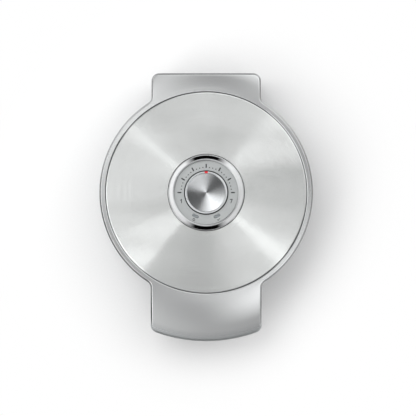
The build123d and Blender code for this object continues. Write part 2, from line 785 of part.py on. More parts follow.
# Hinge arms: steel plates with a slot round the rod and a foot that is screwed up into the lid
arm_top = arm_foot_z + arm_foot_thickness - hinge_z
arm_screw_places = [arm_foot_rear - arm_screw_end, arm_foot_rear - arm_foot_length + arm_screw_end]
arm_screw_x = arm_place - arm_foot_width / 2 - arm_screw_side
for side_name, side in (("left", -1), ("right", 1)):
    with BuildPart() as arm:
        with BuildSketch(hinge_plane.offset(side * arm_place)):
            with Locations((0, -arm_bottom)):
                Rectangle(2 * arm_half_width, arm_bottom + arm_top, align=(Align.CENTER, Align.MIN))
            with Locations((0, -arm_bottom + arm_end_wall)):
                Rectangle(
                    2 * (rod_flat + snug), float_travel + 2 * (rod_radius + snug),
                    align=(Align.CENTER, Align.MIN), mode=Mode.SUBTRACT,
                )
        extrude(amount=arm_thickness / 2, both=True)
        fillet(arm.edges().filter_by(Axis.X).group_by(Axis.Z)[0], arm_corner)
        outer_x = side * (arm_place + arm_thickness / 2)
        with BuildSketch(Plane((outer_x, hinge_y + arm_foot_rear, arm_foot_z))):
            Rectangle(
                arm_foot_width, arm_foot_length,
                align=(Align.MAX if side > 0 else Align.MIN, Align.MAX),
            )
        extrude(amount=arm_foot_thickness)
        with Locations(*[(side * arm_screw_x, hinge_y + place, arm_foot_z) for place in arm_screw_places]):
            Cylinder(screw_radius + slip, arm_foot_thickness, align=above, mode=Mode.SUBTRACT)
    arm.part.label = f"hinge_arm_{side_name}"
    export_step(arm.part, f"parts/hinge_arm_{side_name}.step")

arm_screw_spots = [
    (side * arm_screw_x, hinge_y + place, arm_foot_z) for side in (-1, 1) for place in arm_screw_places
]
arm_screw_length = arm_foot_thickness + arm_screw_grip
with BuildPart() as arm_screws:
    with Locations(*arm_screw_spots):
        screw(arm_screw_length)
arm_screws.part.label = "arm_screws"
export_step(arm_screws.part, "parts/arm_screws.step")

# Lid liner: the black panel round the upper plate, with posts up to the deck and an upright rear wall
with BuildPart() as lid_liner:
    with BuildSketch(level(lid_edge_z)):
        add(inset(lid_plan, wall + slip))
        with Locations((0, liner_rear)):
            Rectangle(2 * body_radius, body_radius, align=(Align.CENTER, Align.MIN), mode=Mode.SUBTRACT)
        with BuildSketch(mode=Mode.PRIVATE) as beyond:
            Rectangle(2 * front_reach, 2 * front_reach)
            Circle(underside_split, mode=Mode.SUBTRACT)
            Rectangle(2 * front_reach, 2 * front_reach, align=(Align.CENTER, Align.MIN), mode=Mode.SUBTRACT)
        add(beyond.sketch, mode=Mode.SUBTRACT)
        Circle(well_radius, mode=Mode.SUBTRACT)
    extrude(amount=wall)
    with BuildSketch(level(lid_edge_z)):
        with Locations((0, liner_rear)):
            Rectangle(rear_width - 2 * (wall + slip), wall, align=(Align.CENTER, Align.MAX))
    extrude(amount=arm_foot_z - lid_edge_z - liner_rear_drop)
    add(lid_carrier)
lid_liner.part.label = "lid_liner"
export_step(lid_liner.part, "parts/lid_liner.step")


def crown_z(radius):
    """The height of the lid's top at a distance from the axis: level, then one falling arc."""
    return lid_top_z - crown_radius + sqrt(crown_radius**2 - (radius - crown_start) ** 2)


def crown_form(drop, rim_drop):
    """A round block from the lid's edge up to its top, lowered by a wall, with the cover seat's rim."""
    outer = front_reach + wall
    middle = (crown_start + outer) / 2
    with BuildPart() as form:
        with BuildSketch(slice_at(0)):
            with BuildLine():
                Polyline(
                    (outer, crown_z(outer) - drop),
                    (outer, lid_edge_z - wall),
                    (0, lid_edge_z - wall),
                    (0, lid_top_z + lip_height - rim_drop),
                    (lip_radius, lid_top_z + lip_height - rim_drop),
                    (crown_start, lid_top_z - drop),
                )
                ThreePointArc(
                    (crown_start, lid_top_z - drop),
                    (middle, crown_z(middle) - drop),
                    (outer, crown_z(outer) - drop),
                )
            make_face()
        revolve(axis=upright)
    return form.part


def under_handle(lift, thickness):
    """A round sheet along the handle's underside: flat to the base's lip, then curving up to the front."""
    outer = front_reach + wall
    middle = (undercut_start + outer) / 2
    reaches = [middle - undercut_start, outer - undercut_start]
    rises = [undercut_radius - sqrt(undercut_radius**2 - reach**2) for reach in reaches]
    low = lid_edge_z + lift
    high = low + thickness
    with BuildPart() as form:
        with BuildSketch(slice_at(0)):
            with BuildLine():
                Line((underside_split + slip, low), (undercut_start, low))
                ThreePointArc((undercut_start, low), (middle, low + rises[0]), (outer, low + rises[1]))
                Line((outer, low + rises[1]), (outer, high + rises[1]))
                ThreePointArc((outer, high + rises[1]), (middle, high + rises[0]), (undercut_start, high))
                Line((undercut_start, high), (underside_split + slip, high))
                Line((underside_split + slip, high), (underside_split + slip, low))
            make_face()
        revolve(axis=upright)
    return form.part


handle_screw_spots = [(-handle_screw_place, -handle_screw_reach), (handle_screw_place, -handle_screw_reach)]

# Handle underside: the black cover that closes the handle from below and gives the fingers a smooth hold
with BuildPart() as handle_underside:
    with BuildSketch(level(lid_edge_z)):
        add(inset(lid_plan, wall + slip))
        with Locations((0, -body_radius / 2)):
            Rectangle(2 * front_reach, 2 * front_reach, align=(Align.CENTER, Align.MIN), mode=Mode.SUBTRACT)
    extrude(amount=body_radius)
    add(under_handle(0, wall), mode=Mode.INTERSECT)
    with Locations(level(lid_edge_z)):
        with Locations(*handle_screw_spots):
            Cylinder(screw_radius + slip, undercut_radius, align=above, mode=Mode.SUBTRACT)
            Cylinder(screw_head_radius + slip, handle_screw_sink, align=above, mode=Mode.SUBTRACT)
handle_underside.part.label = "handle_underside"
export_step(handle_underside.part, "parts/handle_underside.step")

# The lid's inside: everything within its walls and under its roof, less the bosses for the screws
with BuildPart() as lid_hollow:
    with BuildSketch(level(lid_edge_z)):
        add(inset(lid_plan, wall))
    extrude(amount=body_radius)
    add(crown_form(wall, deck_drop + wall + lip_height), mode=Mode.INTERSECT)
    with BuildSketch(level(lid_edge_z)):
        add(inset(lid_plan, wall))
    extrude(amount=-wall)
    with Locations(*[(x, y, arm_foot_z + arm_foot_thickness) for x, y, z in arm_screw_spots]):
        Cylinder(arm_boss_radius, body_radius, align=above, mode=Mode.SUBTRACT)
        Cylinder(screw_radius + snug, arm_screw_grip, align=above)
    with Locations(level(lid_edge_z + wall)):
        with Locations(*handle_screw_spots):
            Cylinder(arm_boss_radius, body_radius, align=above, mode=Mode.SUBTRACT)
            Cylinder(screw_radius + snug, screw_length + wall, align=above)
    add(handle_underside.part)

# Lid shell: the silver moulding with the rim, the handle and the hinge hood
with BuildPart() as lid_shell:
    with BuildSketch(level(lid_edge_z)):
        add(lid_plan)
    extrude(amount=body_radius)
    add(crown_form(0, 0), mode=Mode.INTERSECT)
    rim_edges = lid_shell.edges().filter_by(Axis.Z, reverse=True).filter_by(
        lambda e: hypot(e.center().X, e.center().Y - centre_y) > body_radius - pick_gap
        and e.center().Z > lid_edge_z + wall
    )
    fillet(rim_edges, shoulder)
    add(under_handle(-undercut_radius, undercut_radius), mode=Mode.SUBTRACT)
    add(lid_hollow.part, mode=Mode.SUBTRACT)
    with Locations(level(deck_z)):
        Cylinder(cover_radius + cover_gap, body_radius, align=above, mode=Mode.SUBTRACT)
    fillet(lid_shell.edges().group_by(Axis.Z)[-1], lip_round)
    with Locations(level(deck_z)):
        Cylinder(housing_radius + slip, body_radius, mode=Mode.SUBTRACT)
        with PolarLocations(post_circle, screw_count):
            Cylinder(screw_radius + slip, wall, align=below, mode=Mode.SUBTRACT)
        with PolarLocations(housing_screw_circle, housing_screw_count, start_angle=90):
            Cylinder(small_screw_radius + snug, wall, align=below, mode=Mode.SUBTRACT)
    with BuildSketch(level(deck_z)):
        Circle(cover_seat)
        Circle(cover_hole + slip, mode=Mode.SUBTRACT)
    extrude(amount=cover_centre_z - cover_sheet - deck_z)
lid_shell.part.label = "lid_shell"
export_step(lid_shell.part, "parts/lid_shell.step")

with BuildPart() as handle_screws:
    with Locations(level(lid_edge_z + handle_screw_sink)):
        with Locations(*handle_screw_spots):
            screw(wall + screw_length)
handle_screws.part.label = "handle_screws"
export_step(handle_screws.part, "parts/handle_screws.step")

# The screws from the deck into the liner's posts, hidden by the cover disc
with BuildPart() as lid_screws:
    with Locations(level(deck_z)):
        with PolarLocations(post_circle, screw_count):
            Cylinder(screw_head_radius, screw_head, align=above)
            Cylinder(screw_radius, wall + screw_length, align=below)
lid_screws.part.label = "lid_screws"
export_step(lid_screws.part, "parts/lid_screws.step")

# Cover disc: the brushed steel sheet, a little coned, with a rolled-down edge
cover_edge_z = cover_centre_z - cover_fall
with BuildPart() as cover_disc:
    with BuildSketch(slice_at(0)) as cover_section:
        Polygon(
            (cover_hole, cover_centre_z),
            (cover_seat, cover_centre_z),
            (cover_radius, cover_edge_z),
            (cover_radius, deck_z),
            (cover_radius - cover_sheet, deck_z),
            (cover_radius - cover_sheet, cover_edge_z - cover_sheet),
            (cover_seat, cover_centre_z - cover_sheet),
            (cover_hole, cover_centre_z - cover_sheet),
            align=None,
        )
        corners = cover_section.vertices().group_by(Axis.X)
        fillet(corners[-1].sort_by(Axis.Y)[-1], cover_edge_round)
        fillet(corners[-2].sort_by(Axis.Y)[-1], cover_edge_round - cover_sheet)
    revolve(axis=upright)
cover_disc.part.label = "cover_disc"
export_step(cover_disc.part, "parts/cover_disc.step")

# Dial bezel: a ring over the cover's inner edge, its crest near the dial and its outer face falling away
bezel_seat = cover_hole - slip
with BuildPart() as dial_bezel:
    with BuildSketch(slice_at(0)) as bezel_section:
        with BuildLine():
            SagittaArc(
                (bezel_outer, cover_centre_z), (bezel_inner, cover_centre_z + bezel_height), -bezel_bulge
            )
            Polyline(
                (bezel_inner, cover_centre_z + bezel_height),
                (bezel_inner, deck_z),
                (bezel_seat - wall, deck_z),
                (bezel_seat - wall, cover_centre_z - cover_sheet),
                (bezel_seat, cover_centre_z - cover_sheet),
                (bezel_seat, cover_centre_z),
                (bezel_outer, cover_centre_z),
            )
        make_face()
        fillet(bezel_section.vertices().sort_by(Axis.Y)[-1], bezel_round)
    revolve(axis=upright)
dial_bezel.part.label = "dial_bezel"
export_step(dial_bezel.part, "parts/dial_bezel.step")

# Dial plate: the flat ring that carries the heat scale, with two lens windows towards the front
lens_angles = [270 - lens_angle, 270 + lens_angle]
with BuildPart() as dial_plate:
    with BuildSketch(level(dial_seat_z)):
        Circle(housing_radius)
        Circle(dial_plate_hole, mode=Mode.SUBTRACT)
        for angle in lens_angles:
            with PolarLocations(lens_circle, 1, start_angle=angle):
                SlotOverall(lens_length, lens_width, rotation=90, mode=Mode.SUBTRACT)
    extrude(amount=dial_plate_sheet)
dial_plate.part.label = "dial_plate"
export_step(dial_plate.part, "parts/dial_plate.step")

# Lenses: light guides that fill the windows and stand on the lamps
for lens_name, angle in zip(("power", "ready"), lens_angles):
    with BuildPart() as lens:
        with BuildSketch(level(dial_seat_z)):
            with PolarLocations(lens_circle, 1, start_angle=angle):
                SlotOverall(lens_length - 2 * snug, lens_width - 2 * snug, rotation=90)
        extrude(amount=dial_plate_sheet)
        with BuildSketch(level(dial_seat_z)):
            with PolarLocations(lens_circle, 1, start_angle=angle):
                SlotOverall(lens_length + 2 * lens_flange, lens_width + 2 * lens_flange, rotation=90)
        extrude(amount=-lens_flange)
        with BuildSketch(level(lens_foot_z)):
            with PolarLocations(lens_circle, 1, start_angle=angle):
                SlotOverall(lens_length - 2 * lens_flange, lens_width, rotation=90)
        extrude(amount=dial_seat_z - lens_foot_z)
    lens.part.label = f"{lens_name}_lens"
    export_step(lens.part, f"parts/{lens_name}_lens.step")

    with BuildPart() as lamp:
        with Locations(level(housing_floor_z + housing_floor)):
            with PolarLocations(lens_circle, 1, start_angle=angle):
                Cylinder(lamp_radius, lens_foot_z - housing_floor_z - housing_floor, align=above)
        fillet(lamp.edges().group_by(Axis.Z)[-1], lamp_radius / 2)
    lamp.part.label = f"{lens_name}_lamp"
    export_step(lamp.part, f"parts/{lens_name}_lamp.step")

# Dial housing: the black cup under the dial, screwed to the deck from below by its flange
with BuildPart() as dial_housing:
    with BuildSketch(slice_at(0)):
        strip(housing_radius - housing_wall, housing_radius, housing_floor_z, dial_seat_z)
        strip(shaft_radius + free_gap, housing_radius, housing_floor_z, housing_floor_z + housing_floor)
        strip(housing_radius, housing_flange_radius, deck_under_z - housing_flange, deck_under_z)
    revolve(axis=upright)
    with Locations(level(deck_under_z)):
        with PolarLocations(housing_screw_circle, housing_screw_count, start_angle=90):
            Cylinder(small_screw_radius + slip, housing_flange, align=below, mode=Mode.SUBTRACT)
dial_housing.part.label = "dial_housing"
export_step(dial_housing.part, "parts/dial_housing.step")

housing_screw_length = housing_flange + wall - slip
with BuildPart() as housing_screws:
    with Locations(level(deck_under_z - housing_flange)):
        with PolarLocations(housing_screw_circle, housing_screw_count, start_angle=90):
            screw(housing_screw_length, small_screw_radius, small_screw_head_radius, small_screw_head)
housing_screws.part.label = "housing_screws"
export_step(housing_screws.part, "parts/housing_screws.step")

# Control knob: a cup with a rounded rim, a sunk top for the turned cap and a hub for the shaft
cap_seat_z = knob_top_z - knob_recess
cap_radius = knob_radius - knob_rim - slip
pointer_angle = degrees(2 * asin(pointer_width / 2 / knob_radius))
with BuildPart() as control_knob:
    with BuildSketch(slice_at(0)):
        strip(0, knob_radius, knob_skirt_z, knob_top_z)
        strip(0, knob_radius - knob_rim, cap_seat_z, knob_top_z, Mode.SUBTRACT)
        strip(0, knob_radius - knob_rim, knob_skirt_z, cap_seat_z - knob_web, Mode.SUBTRACT)
        strip(0, knob_hub_radius, knob_skirt_z + hub_lift, cap_seat_z - knob_web)
    revolve(axis=upright)
    fillet(control_knob.edges().group_by(Axis.Z)[-1], knob_rim_round)
    with BuildSketch(slice_at(90 - pointer_angle / 2)):
        strip(cap_radius, knob_radius + slip, knob_top_z - pointer_depth, knob_top_z + slip)
    revolve(axis=upright, revolution_arc=pointer_angle, mode=Mode.SUBTRACT)
    with BuildSketch(level(knob_skirt_z)):
        Circle(shaft_radius + snug)
        with Locations((0, shaft_flat + snug)):
            Rectangle(4 * shaft_radius, shaft_radius, align=(Align.CENTER, Align.MIN), mode=Mode.SUBTRACT)
    extrude(amount=cap_seat_z - knob_web - knob_skirt_z, mode=Mode.SUBTRACT)
control_knob.part.label = "control_knob"
export_step(control_knob.part, "parts/control_knob.step")

# Knob cap: a turned metal disc with a shallow dish
dish_radius = (cap_radius**2 + cap_dish**2) / (2 * cap_dish)
dish_middle = cap_radius / 2
with BuildPart() as knob_cap:
    with BuildSketch(slice_at(0)):
        with BuildLine():
            Polyline(
                (0, knob_top_z - cap_dish),
                (0, cap_seat_z),
                (cap_radius, cap_seat_z),
                (cap_radius, knob_top_z),
            )
            ThreePointArc(
                (cap_radius, knob_top_z),
                (dish_middle, knob_top_z - cap_dish + dish_radius - sqrt(dish_radius**2 - dish_middle**2)),
                (0, knob_top_z - cap_dish),
            )
        make_face()
    revolve(axis=upright)
    chamfer(knob_cap.edges().group_by(Axis.Z)[-1], cap_edge)
knob_cap.part.label = "knob_cap"
export_step(knob_cap.part, "parts/knob_cap.step")

# Knob pointer: a red insert across the rim, at the rear when the dial points up the scale's middle
with BuildPart() as knob_pointer:
    with BuildSketch(slice_at(90 - pointer_angle / 2)):
        strip(knob_radius - knob_rim, knob_radius, knob_top_z - pointer_depth, knob_top_z + pointer_proud)
    revolve(axis=upright, revolution_arc=pointer_angle)
knob_pointer.part.label = "knob_pointer"
export_step(knob_pointer.part, "parts/knob_pointer.step")

# Thermostat on the upper plate's back, with a strap that takes its screws and a bush for the shaft
thermostat_top_z = upper_back_z + strap_thickness + thermostat_height
with BuildPart() as thermostat:
    with BuildSketch(level(upper_back_z)):
        SlotOverall(strap_length, strap_width)
        with Locations((strap_hole_place, 0), (-strap_hole_place, 0)):
            Circle(small_screw_radius + slip, mode=Mode.SUBTRACT)
    extrude(amount=strap_thickness)
    with Locations(level(upper_back_z)):
        Cylinder(thermostat_radius, strap_thickness + thermostat_height, align=above)
    chamfer(thermostat.edges().group_by(Axis.Z)[-1], thermostat_chamfer)
    with Locations(level(thermostat_top_z)):
        Cylinder(thermostat_bush_radius, thermostat_bush, align=above)
        Cylinder(shaft_radius + snug, 2 * thermostat_bush, mode=Mode.SUBTRACT)
thermostat.part.label = "thermostat"
export_step(thermostat.part, "parts/thermostat.step")

with BuildPart() as thermostat_screws:
    with Locations(level(upper_back_z + strap_thickness)):
        with Locations((strap_hole_place, 0), (-strap_hole_place, 0)):
            Cylinder(small_screw_head_radius, small_screw_head, align=above)
            Cylinder(small_screw_radius, strap_thickness + strap_screw_grip - slip, align=below)
thermostat_screws.part.label = "thermostat_screws"
export_step(thermostat_screws.part, "parts/thermostat_screws.step")

# Thermostat shaft: turns with the knob, with a flat for it in the knob's hub
with BuildPart() as thermostat_shaft:
    with Locations(level(thermostat_top_z - thermostat_bush + slip)):
        Cylinder(
            shaft_radius, cap_seat_z - knob_web - thermostat_top_z + thermostat_bush - 2 * slip, align=above
        )
    with Locations((0, centre_y + shaft_flat, knob_skirt_z)):
        Box(
            4 * shaft_radius, shaft_radius, body_radius, align=(Align.CENTER, Align.MIN, Align.MIN),
            mode=Mode.SUBTRACT,
        )
thermostat_shaft.part.label = "thermostat_shaft"
export_step(thermostat_shaft.part, "parts/thermostat_shaft.step")
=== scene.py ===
import json
from math import pi, radians

import bmesh
import bpy
import numpy as np
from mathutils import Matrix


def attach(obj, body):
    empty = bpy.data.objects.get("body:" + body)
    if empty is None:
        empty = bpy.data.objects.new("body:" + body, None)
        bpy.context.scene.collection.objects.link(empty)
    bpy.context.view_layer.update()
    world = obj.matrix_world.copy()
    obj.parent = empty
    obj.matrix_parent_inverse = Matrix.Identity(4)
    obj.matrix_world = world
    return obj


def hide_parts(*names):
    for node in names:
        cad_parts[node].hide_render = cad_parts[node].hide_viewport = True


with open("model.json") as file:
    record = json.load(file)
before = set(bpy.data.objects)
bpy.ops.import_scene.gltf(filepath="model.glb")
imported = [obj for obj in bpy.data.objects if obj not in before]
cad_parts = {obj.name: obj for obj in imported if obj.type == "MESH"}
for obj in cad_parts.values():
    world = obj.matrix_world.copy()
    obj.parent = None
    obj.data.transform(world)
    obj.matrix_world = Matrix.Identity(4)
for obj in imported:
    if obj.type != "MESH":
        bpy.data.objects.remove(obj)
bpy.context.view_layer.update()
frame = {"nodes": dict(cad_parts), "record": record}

# Heart waffle maker, closed, on a pale table and seen from straight above.
# The scene is in metres. The sizes below are in millimetres and are turned to metres where a mesh is made.
# The light is a plain soft studio: a pale sky with a few cards, and two wide lamps for the shadow.

bpy.context.scene.view_settings.view_transform = "Standard"
nodes = frame["nodes"]

MM = 0.001

# ---- Sizes of the pieces that are made again here, as they are in the part ----
# Heights are from the table. The cover and the dial share one axis, which stands centre_y to the rear of the
# frame's origin, and the lid's outline is drawn about the same axis
centre_y = 16.55
round_parts = 288

# Cover disc, and the seat that it lies in
deck_z = 79.6
cover_centre_z = 85.2
cover_edge_z = 82.6
cover_radius = 112.8
cover_sheet = 1.0
cover_hole = 41.0
cover_seat = 43.6
cover_cone_round = 12.0
cover_edge_round = 1.6
cover_inner_round = 0.6

# Bezel, its stem in the cover's hole, and the thin dark ring under it
bezel_inner = 36.1
bezel_outer = 42.8
lip_rise = 0.2
stem_gap = 0.2
dark_ring_outer = 43.3
dark_ring_top_z = 85.45
dark_ring_sunk = 0.05
dark_ring_round = 0.15

# Knob cap and dial print
knob_top_z = 91.1
cap_radius = 21.6
cap_seat_z = 89.2
cap_dish = 0.2
cap_bevel_width = 0.3
cap_bevel_drop = 0.25
cap_eye = 0.15
dial_top_z = 85.8
print_height = 0.03
print_depth = 0.06

# Lid in plan: a round body, a hood at the rear and a handle at the front
body_radius = 120.0
rear_reach = 134.3
rear_half = 61.5
rear_corner = 8.5
front_reach = 167.4
front_half = 62.5
front_corner = 9.0
neck_radius = 7.5

# Lid in section: a lip round the cover, a crown, a shoulder, a side and an undercut handle
wall = 2.5
housing_hole = 36.0
lip_inner = 113.4
lip_outer = 115.0
lip_top_z = 82.1
lip_round = 0.8
crown_start = 115.8
crown_radius = 129.0
lid_top_z = 82.0
shoulder_width = 2.32
lid_edge_z = 46.6
edge_round = 0.4
undercut_start = 142.0
undercut_radius = 45.0


# ---- Small tools ----

def linear(code):
    """An sRGB hex colour as linear RGBA: each channel is undone by the sRGB curve."""
    srgb = np.array([int(code[i:i + 2], 16) for i in (1, 3, 5)]) / 255
    low, high = srgb / 12.92, ((srgb + 0.055) / 1.055) ** 2.4
    return (*np.where(srgb <= 0.04045, low, high).tolist(), 1.0)


def add_node(tree, kind, inputs=(), stops=(), **settings):
    """Adds a node, sets its properties and ramp stops, and fills its inputs with values or links."""
    node = tree.nodes.new(kind)
    for name, value in settings.items():
        setattr(node, name, value)
    for number, (place, level) in enumerate(stops):
        elements = node.color_ramp.elements
        stop = elements[number] if number < 2 else elements.new(place)
        stop.position = place
        stop.color = level if isinstance(level, tuple) else (level, level, level, 1)
    for name, value in dict(inputs).items():
        if isinstance(value, bpy.types.NodeSocket):
            tree.links.new(value, node.inputs[name])
        else:
            node.inputs[name].default_value = value
    return node


def material(name, **sockets):
    """A material with one Principled shader whose sockets are set by name, with _ for a space. It gives the
    material, its tree, the shader and the place on the object in metres, which the patterns are drawn by."""
    made = bpy.data.materials.new(name)
    made.use_nodes = True
    tree = made.node_tree
    shader = tree.nodes["Principled BSDF"]
    for socket, value in sockets.items():
        shader.inputs[socket.replace("_", " ")].default_value = value
    return made, tree, shader, add_node(tree, "ShaderNodeTexCoord").outputs["Object"]


def mesh_object(name, points, faces, uv=None, merge=True):
    """Puts arrays of points and faces into a mesh, closes its seams and poles, and turns its faces out."""
    mesh = bpy.data.meshes.new(name)
    mesh.from_pydata(points, [], faces)
    if uv is not None:
        mesh.uv_layers.new(name="UVMap").data.foreach_set("uv", uv.ravel().astype(np.float32))
    made = bpy.data.objects.new(name, mesh)
    bpy.context.scene.collection.objects.link(made)
    work = bmesh.new()
    work.from_mesh(mesh)
    if merge:
        bmesh.ops.remove_doubles(work, verts=work.verts, dist=1e-7)
        bmesh.ops.dissolve_degenerate(work, edges=work.edges, dist=1e-8)
    bmesh.ops.recalc_face_normals(work, faces=work.faces)
    work.to_mesh(mesh)
    work.free()
    mesh.shade_smooth()
    mesh.set_sharp_from_angle(angle=radians(32))
    return made


def rounded(corners, radii, steps=8):
    """A closed profile whose corners are arcs: each arc touches both sides at radius / tan(half the corner).
    Its points are its end rays mixed by sin((1 - t) turn) / sin(turn) and sin(t turn) / sin(turn)."""
    corners, out = np.array(corners, float), []
    for i, radius in enumerate(radii):
        here, before, after = corners[i], corners[i - 1], corners[(i + 1) % len(corners)]
        if not radius:
            out.append(here[None])
            continue
        a, b = before - here, after - here
        a, b = a / np.linalg.norm(a), b / np.linalg.norm(b)
        half = np.arccos(np.clip(a @ b, -1, 1)) / 2
        middle = here + (a + b) / np.linalg.norm(a + b) * radius / np.sin(half)
        touch = radius / np.tan(half)
        start, end = here + a * touch - middle, here + b * touch - middle
        turn = np.arccos(np.clip(start @ end / radius**2, -1, 1))
        t = np.linspace(0, 1, steps + 1)[:, None]
        out.append(middle + (np.sin((1 - t) * turn) * start + np.sin(t * turn) * end) / np.sin(turn))
    return np.concatenate(out)


def turned(name, profile, closed=True):
    """A profile of (radius, height) carried once round the upright axis: x = r cos a, y = r sin a and
    z = height. U is the radius / 100 mm and V the share of the turn, so a tangent along U points outwards."""
    profile = np.asarray(profile, float)
    angle = np.linspace(0, 2 * pi, round_parts, endpoint=False)
    r, z = profile[:, 0][:, None], profile[:, 1][:, None]
    points = np.stack([r * np.cos(angle), r * np.sin(angle) + centre_y, z + 0 * angle], -1) * MM
    rows = len(profile)
    i = np.arange(rows if closed else rows - 1)[:, None]
    j = np.arange(round_parts)[None, :]
    near, far, following = i * round_parts, (i + 1) % rows * round_parts, (j + 1) % round_parts
    faces = np.stack([near + j, near + following, far + following, far + j], -1).reshape(-1, 4)
    u = np.concatenate([profile[:, 0], profile[:1, 0]]) / 100
    near_u, far_u = u[i + 0 * j], u[i + 1 + 0 * j]
    corner_u = np.stack([near_u, near_u, far_u, far_u], -1).reshape(-1)
    corner_v = (np.stack([j, j + 1, j + 1, j], -1) / round_parts + 0 * i[..., None]).reshape(-1)
    return mesh_object(name, points.reshape(-1, 3), faces, np.stack([corner_u, corner_v], -1))


# ---- Camera: straight above the cover, with the rear of the appliance at the top of the picture ----

camera = bpy.data.objects.new("camera", bpy.data.cameras.new("camera"))
camera.data.lens = 200
camera.data.sensor_width = 36
camera.data.clip_end = 50
camera.location = (0.00202, -0.00072, 2.675)
bpy.context.scene.collection.objects.link(camera)
bpy.context.scene.camera = camera

# ---- Light ----

# Levels round the horizon, each at its azimuth in degrees from +X, for five belts of the sky from the zenith
# down: round the zenith, up to about 25 degrees from it, the main belt with its cards, a low belt that is
# dark to the front and rear, and the dim edge of the studio
top_sky = [(0, 0.03), (30, 0.06), (60, 0.06), (90, 1.08), (120, 1.85), (150, 1.24), (180, 0.45), (210, 0.1),
           (240, 0.02), (270, 0.62), (300, 0.59), (330, 0.47)]
mid_sky = [(0, 0.12), (30, 0.36), (60, 0.66), (75, 0.4), (90, 0.34), (105, 0.58), (120, 0.9), (150, 1.28),
           (180, 0.6), (210, 0.12), (240, 0.56), (257, 0.44), (270, 0.38), (284, 0.76), (292, 1.08),
           (300, 1.08), (330, 1.45)]
main_sky = [(0, 0.84), (14, 1.08), (24, 1.88), (47, 1.85), (57, 1.25), (90, 1.78), (120, 0.13),
            (136.7, 0.14), (137.7, 0.92), (140.9, 0.92), (141.9, 0.12), (150, 0.12), (163, 0.8), (180, 1.85),
            (195, 2.0), (205.3, 1.9), (207.1, 2.75), (229.5, 2.7), (231.8, 0.85), (240, 0.66), (270, 0.44),
            (285, 0.42), (300, 0.4), (313, 0.24), (315.8, 1.4), (324, 1.4), (325.8, 0.12), (335, 0.05)]
low_sky = [(0, 0.72), (30, 0.86), (45, 0.98), (54, 0.85), (63, 0.4), (71, 0.0), (109, 0.0), (117, 0.4),
           (127, 0.98), (150, 1.02), (180, 0.96), (210, 0.84), (232, 0.76), (242, 0.4), (251, 0.0),
           (289, 0.0), (298, 0.4), (307, 0.72)]
edge_sky = [(0, 0.18), (15, 0.2), (30, 0.3), (50, 0.6), (90, 0.3), (120, 0.5), (140, 0.5), (160, 0.4),
            (178, 0.12), (195, 0.02), (230, 0.02), (270, 0.05), (300, 0.2), (315, 0.3), (340, 0.3)]

# From the horizon up, each belt with the heights (Z of the direction) between which it takes over
belts = ((edge_sky, 0, 0), (low_sky, 0.13, 0.19), (main_sky, 0.33, 0.41), (mid_sky, 0.815, 0.958),
         (top_sky, 0.9983, 0.9992))


def round_the_horizon(levels):
    """Ramp stops for levels at azimuths: the ramp runs from -180 to 180 degrees and joins where it ends."""
    azimuth, level = np.array(levels).T
    seam = float(np.interp(180, azimuth, level, period=360))
    stops = sorted((((a + 180) % 360) / 360, float(v)) for a, v in zip(azimuth, level) if a % 360 != 180)
    return [(0.0, seam), *stops, (1.0, seam)]


world = bpy.data.worlds.new("studio")
world.use_nodes = True
sky = world.node_tree
# The belts meet a third of a degree from the zenith, at the point that the level dial shows to the camera
direction = add_node(sky, "ShaderNodeTexCoord").outputs["Generated"]
direction = add_node(sky, "ShaderNodeMapping", {"Vector": direction, "Rotation": (0.00668, 0.00078, 0)})
axes = add_node(sky, "ShaderNodeSeparateXYZ", {"Vector": direction.outputs[0]})
bearing = add_node(sky, "ShaderNodeMath", {0: axes.outputs["Y"], 1: axes.outputs["X"]}, operation="ARCTAN2")
bearing = add_node(sky, "ShaderNodeMapRange", {"Value": bearing.outputs[0], "From Min": -pi, "From Max": pi})
studio = None
for levels, fade_from, fade_to in belts:
    belt = add_node(sky, "ShaderNodeValToRGB", {"Fac": bearing.outputs[0]}, round_the_horizon(levels))
    belt = belt.outputs[0]
    if studio:
        fade = add_node(sky, "ShaderNodeMapRange", {"Value": axes.outputs["Z"], "From Min": fade_from,
                                                    "From Max": fade_to})
        belt = add_node(sky, "ShaderNodeMix", {"Factor": fade.outputs[0], 6: studio, 7: belt},
                        data_type="RGBA").outputs[2]
    studio = belt
# The camera sees plain white above the horizon. Metal shows the belts, which are what gives it its wedges
sight = add_node(sky, "ShaderNodeLightPath")
shown = add_node(sky, "ShaderNodeMix", {"Factor": sight.outputs["Is Camera Ray"], 6: studio, 7: (1, 1, 1, 1)},
                 data_type="RGBA")
sky.links.new(shown.outputs[2], sky.nodes["Background"].inputs["Color"])
bpy.context.scene.world = world

# A wide lamp overhead gives the soft shade all round, and one to the upper left draws it to the lower right.
# Neither shows in the gloss, which sees the sky alone
for name, size, energy, place in (("overhead", 3.5, 11, (0, 0, 2.9)),
                                  ("upper_left", 1.6, 18, (-0.8, 0.85, 2.2))):
    lamp = bpy.data.objects.new(name, bpy.data.lights.new(name, "AREA"))
    lamp.data.shape = "DISK"
    lamp.data.size = size
    lamp.data.energy = energy
    lamp.location = place
    lamp.rotation_euler = lamp.location.to_track_quat("Z", "Y").to_euler()
    lamp.visible_glossy = False
    bpy.context.scene.collection.objects.link(lamp)


# ---- Materials ----
# Every pattern is drawn in object coordinates, in cells per metre, or along the radius by the piece's own UV

def dress(tree, shader, pattern, tones, roughness, height=0.0, span=(0.3, 0.7)):
    """Gives the pattern's low and high ends a colour and a roughness each, and its height in millimetres."""
    tone = add_node(tree, "ShaderNodeValToRGB", {"Fac": pattern},
                    [(place, linear(code)) for place, code in zip(span, tones)])
    rough = add_node(tree, "ShaderNodeMapRange", {"Value": pattern, "From Min": span[0], "From Max": span[1],
                                                  "To Min": roughness[0], "To Max": roughness[1]})
    tree.links.new(tone.outputs[0], shader.inputs["Base Color"])
    tree.links.new(rough.outputs[0], shader.inputs["Roughness"])
    if height:
        raise_by(tree, shader, pattern, height)
    return tone.outputs[0], rough.outputs[0]


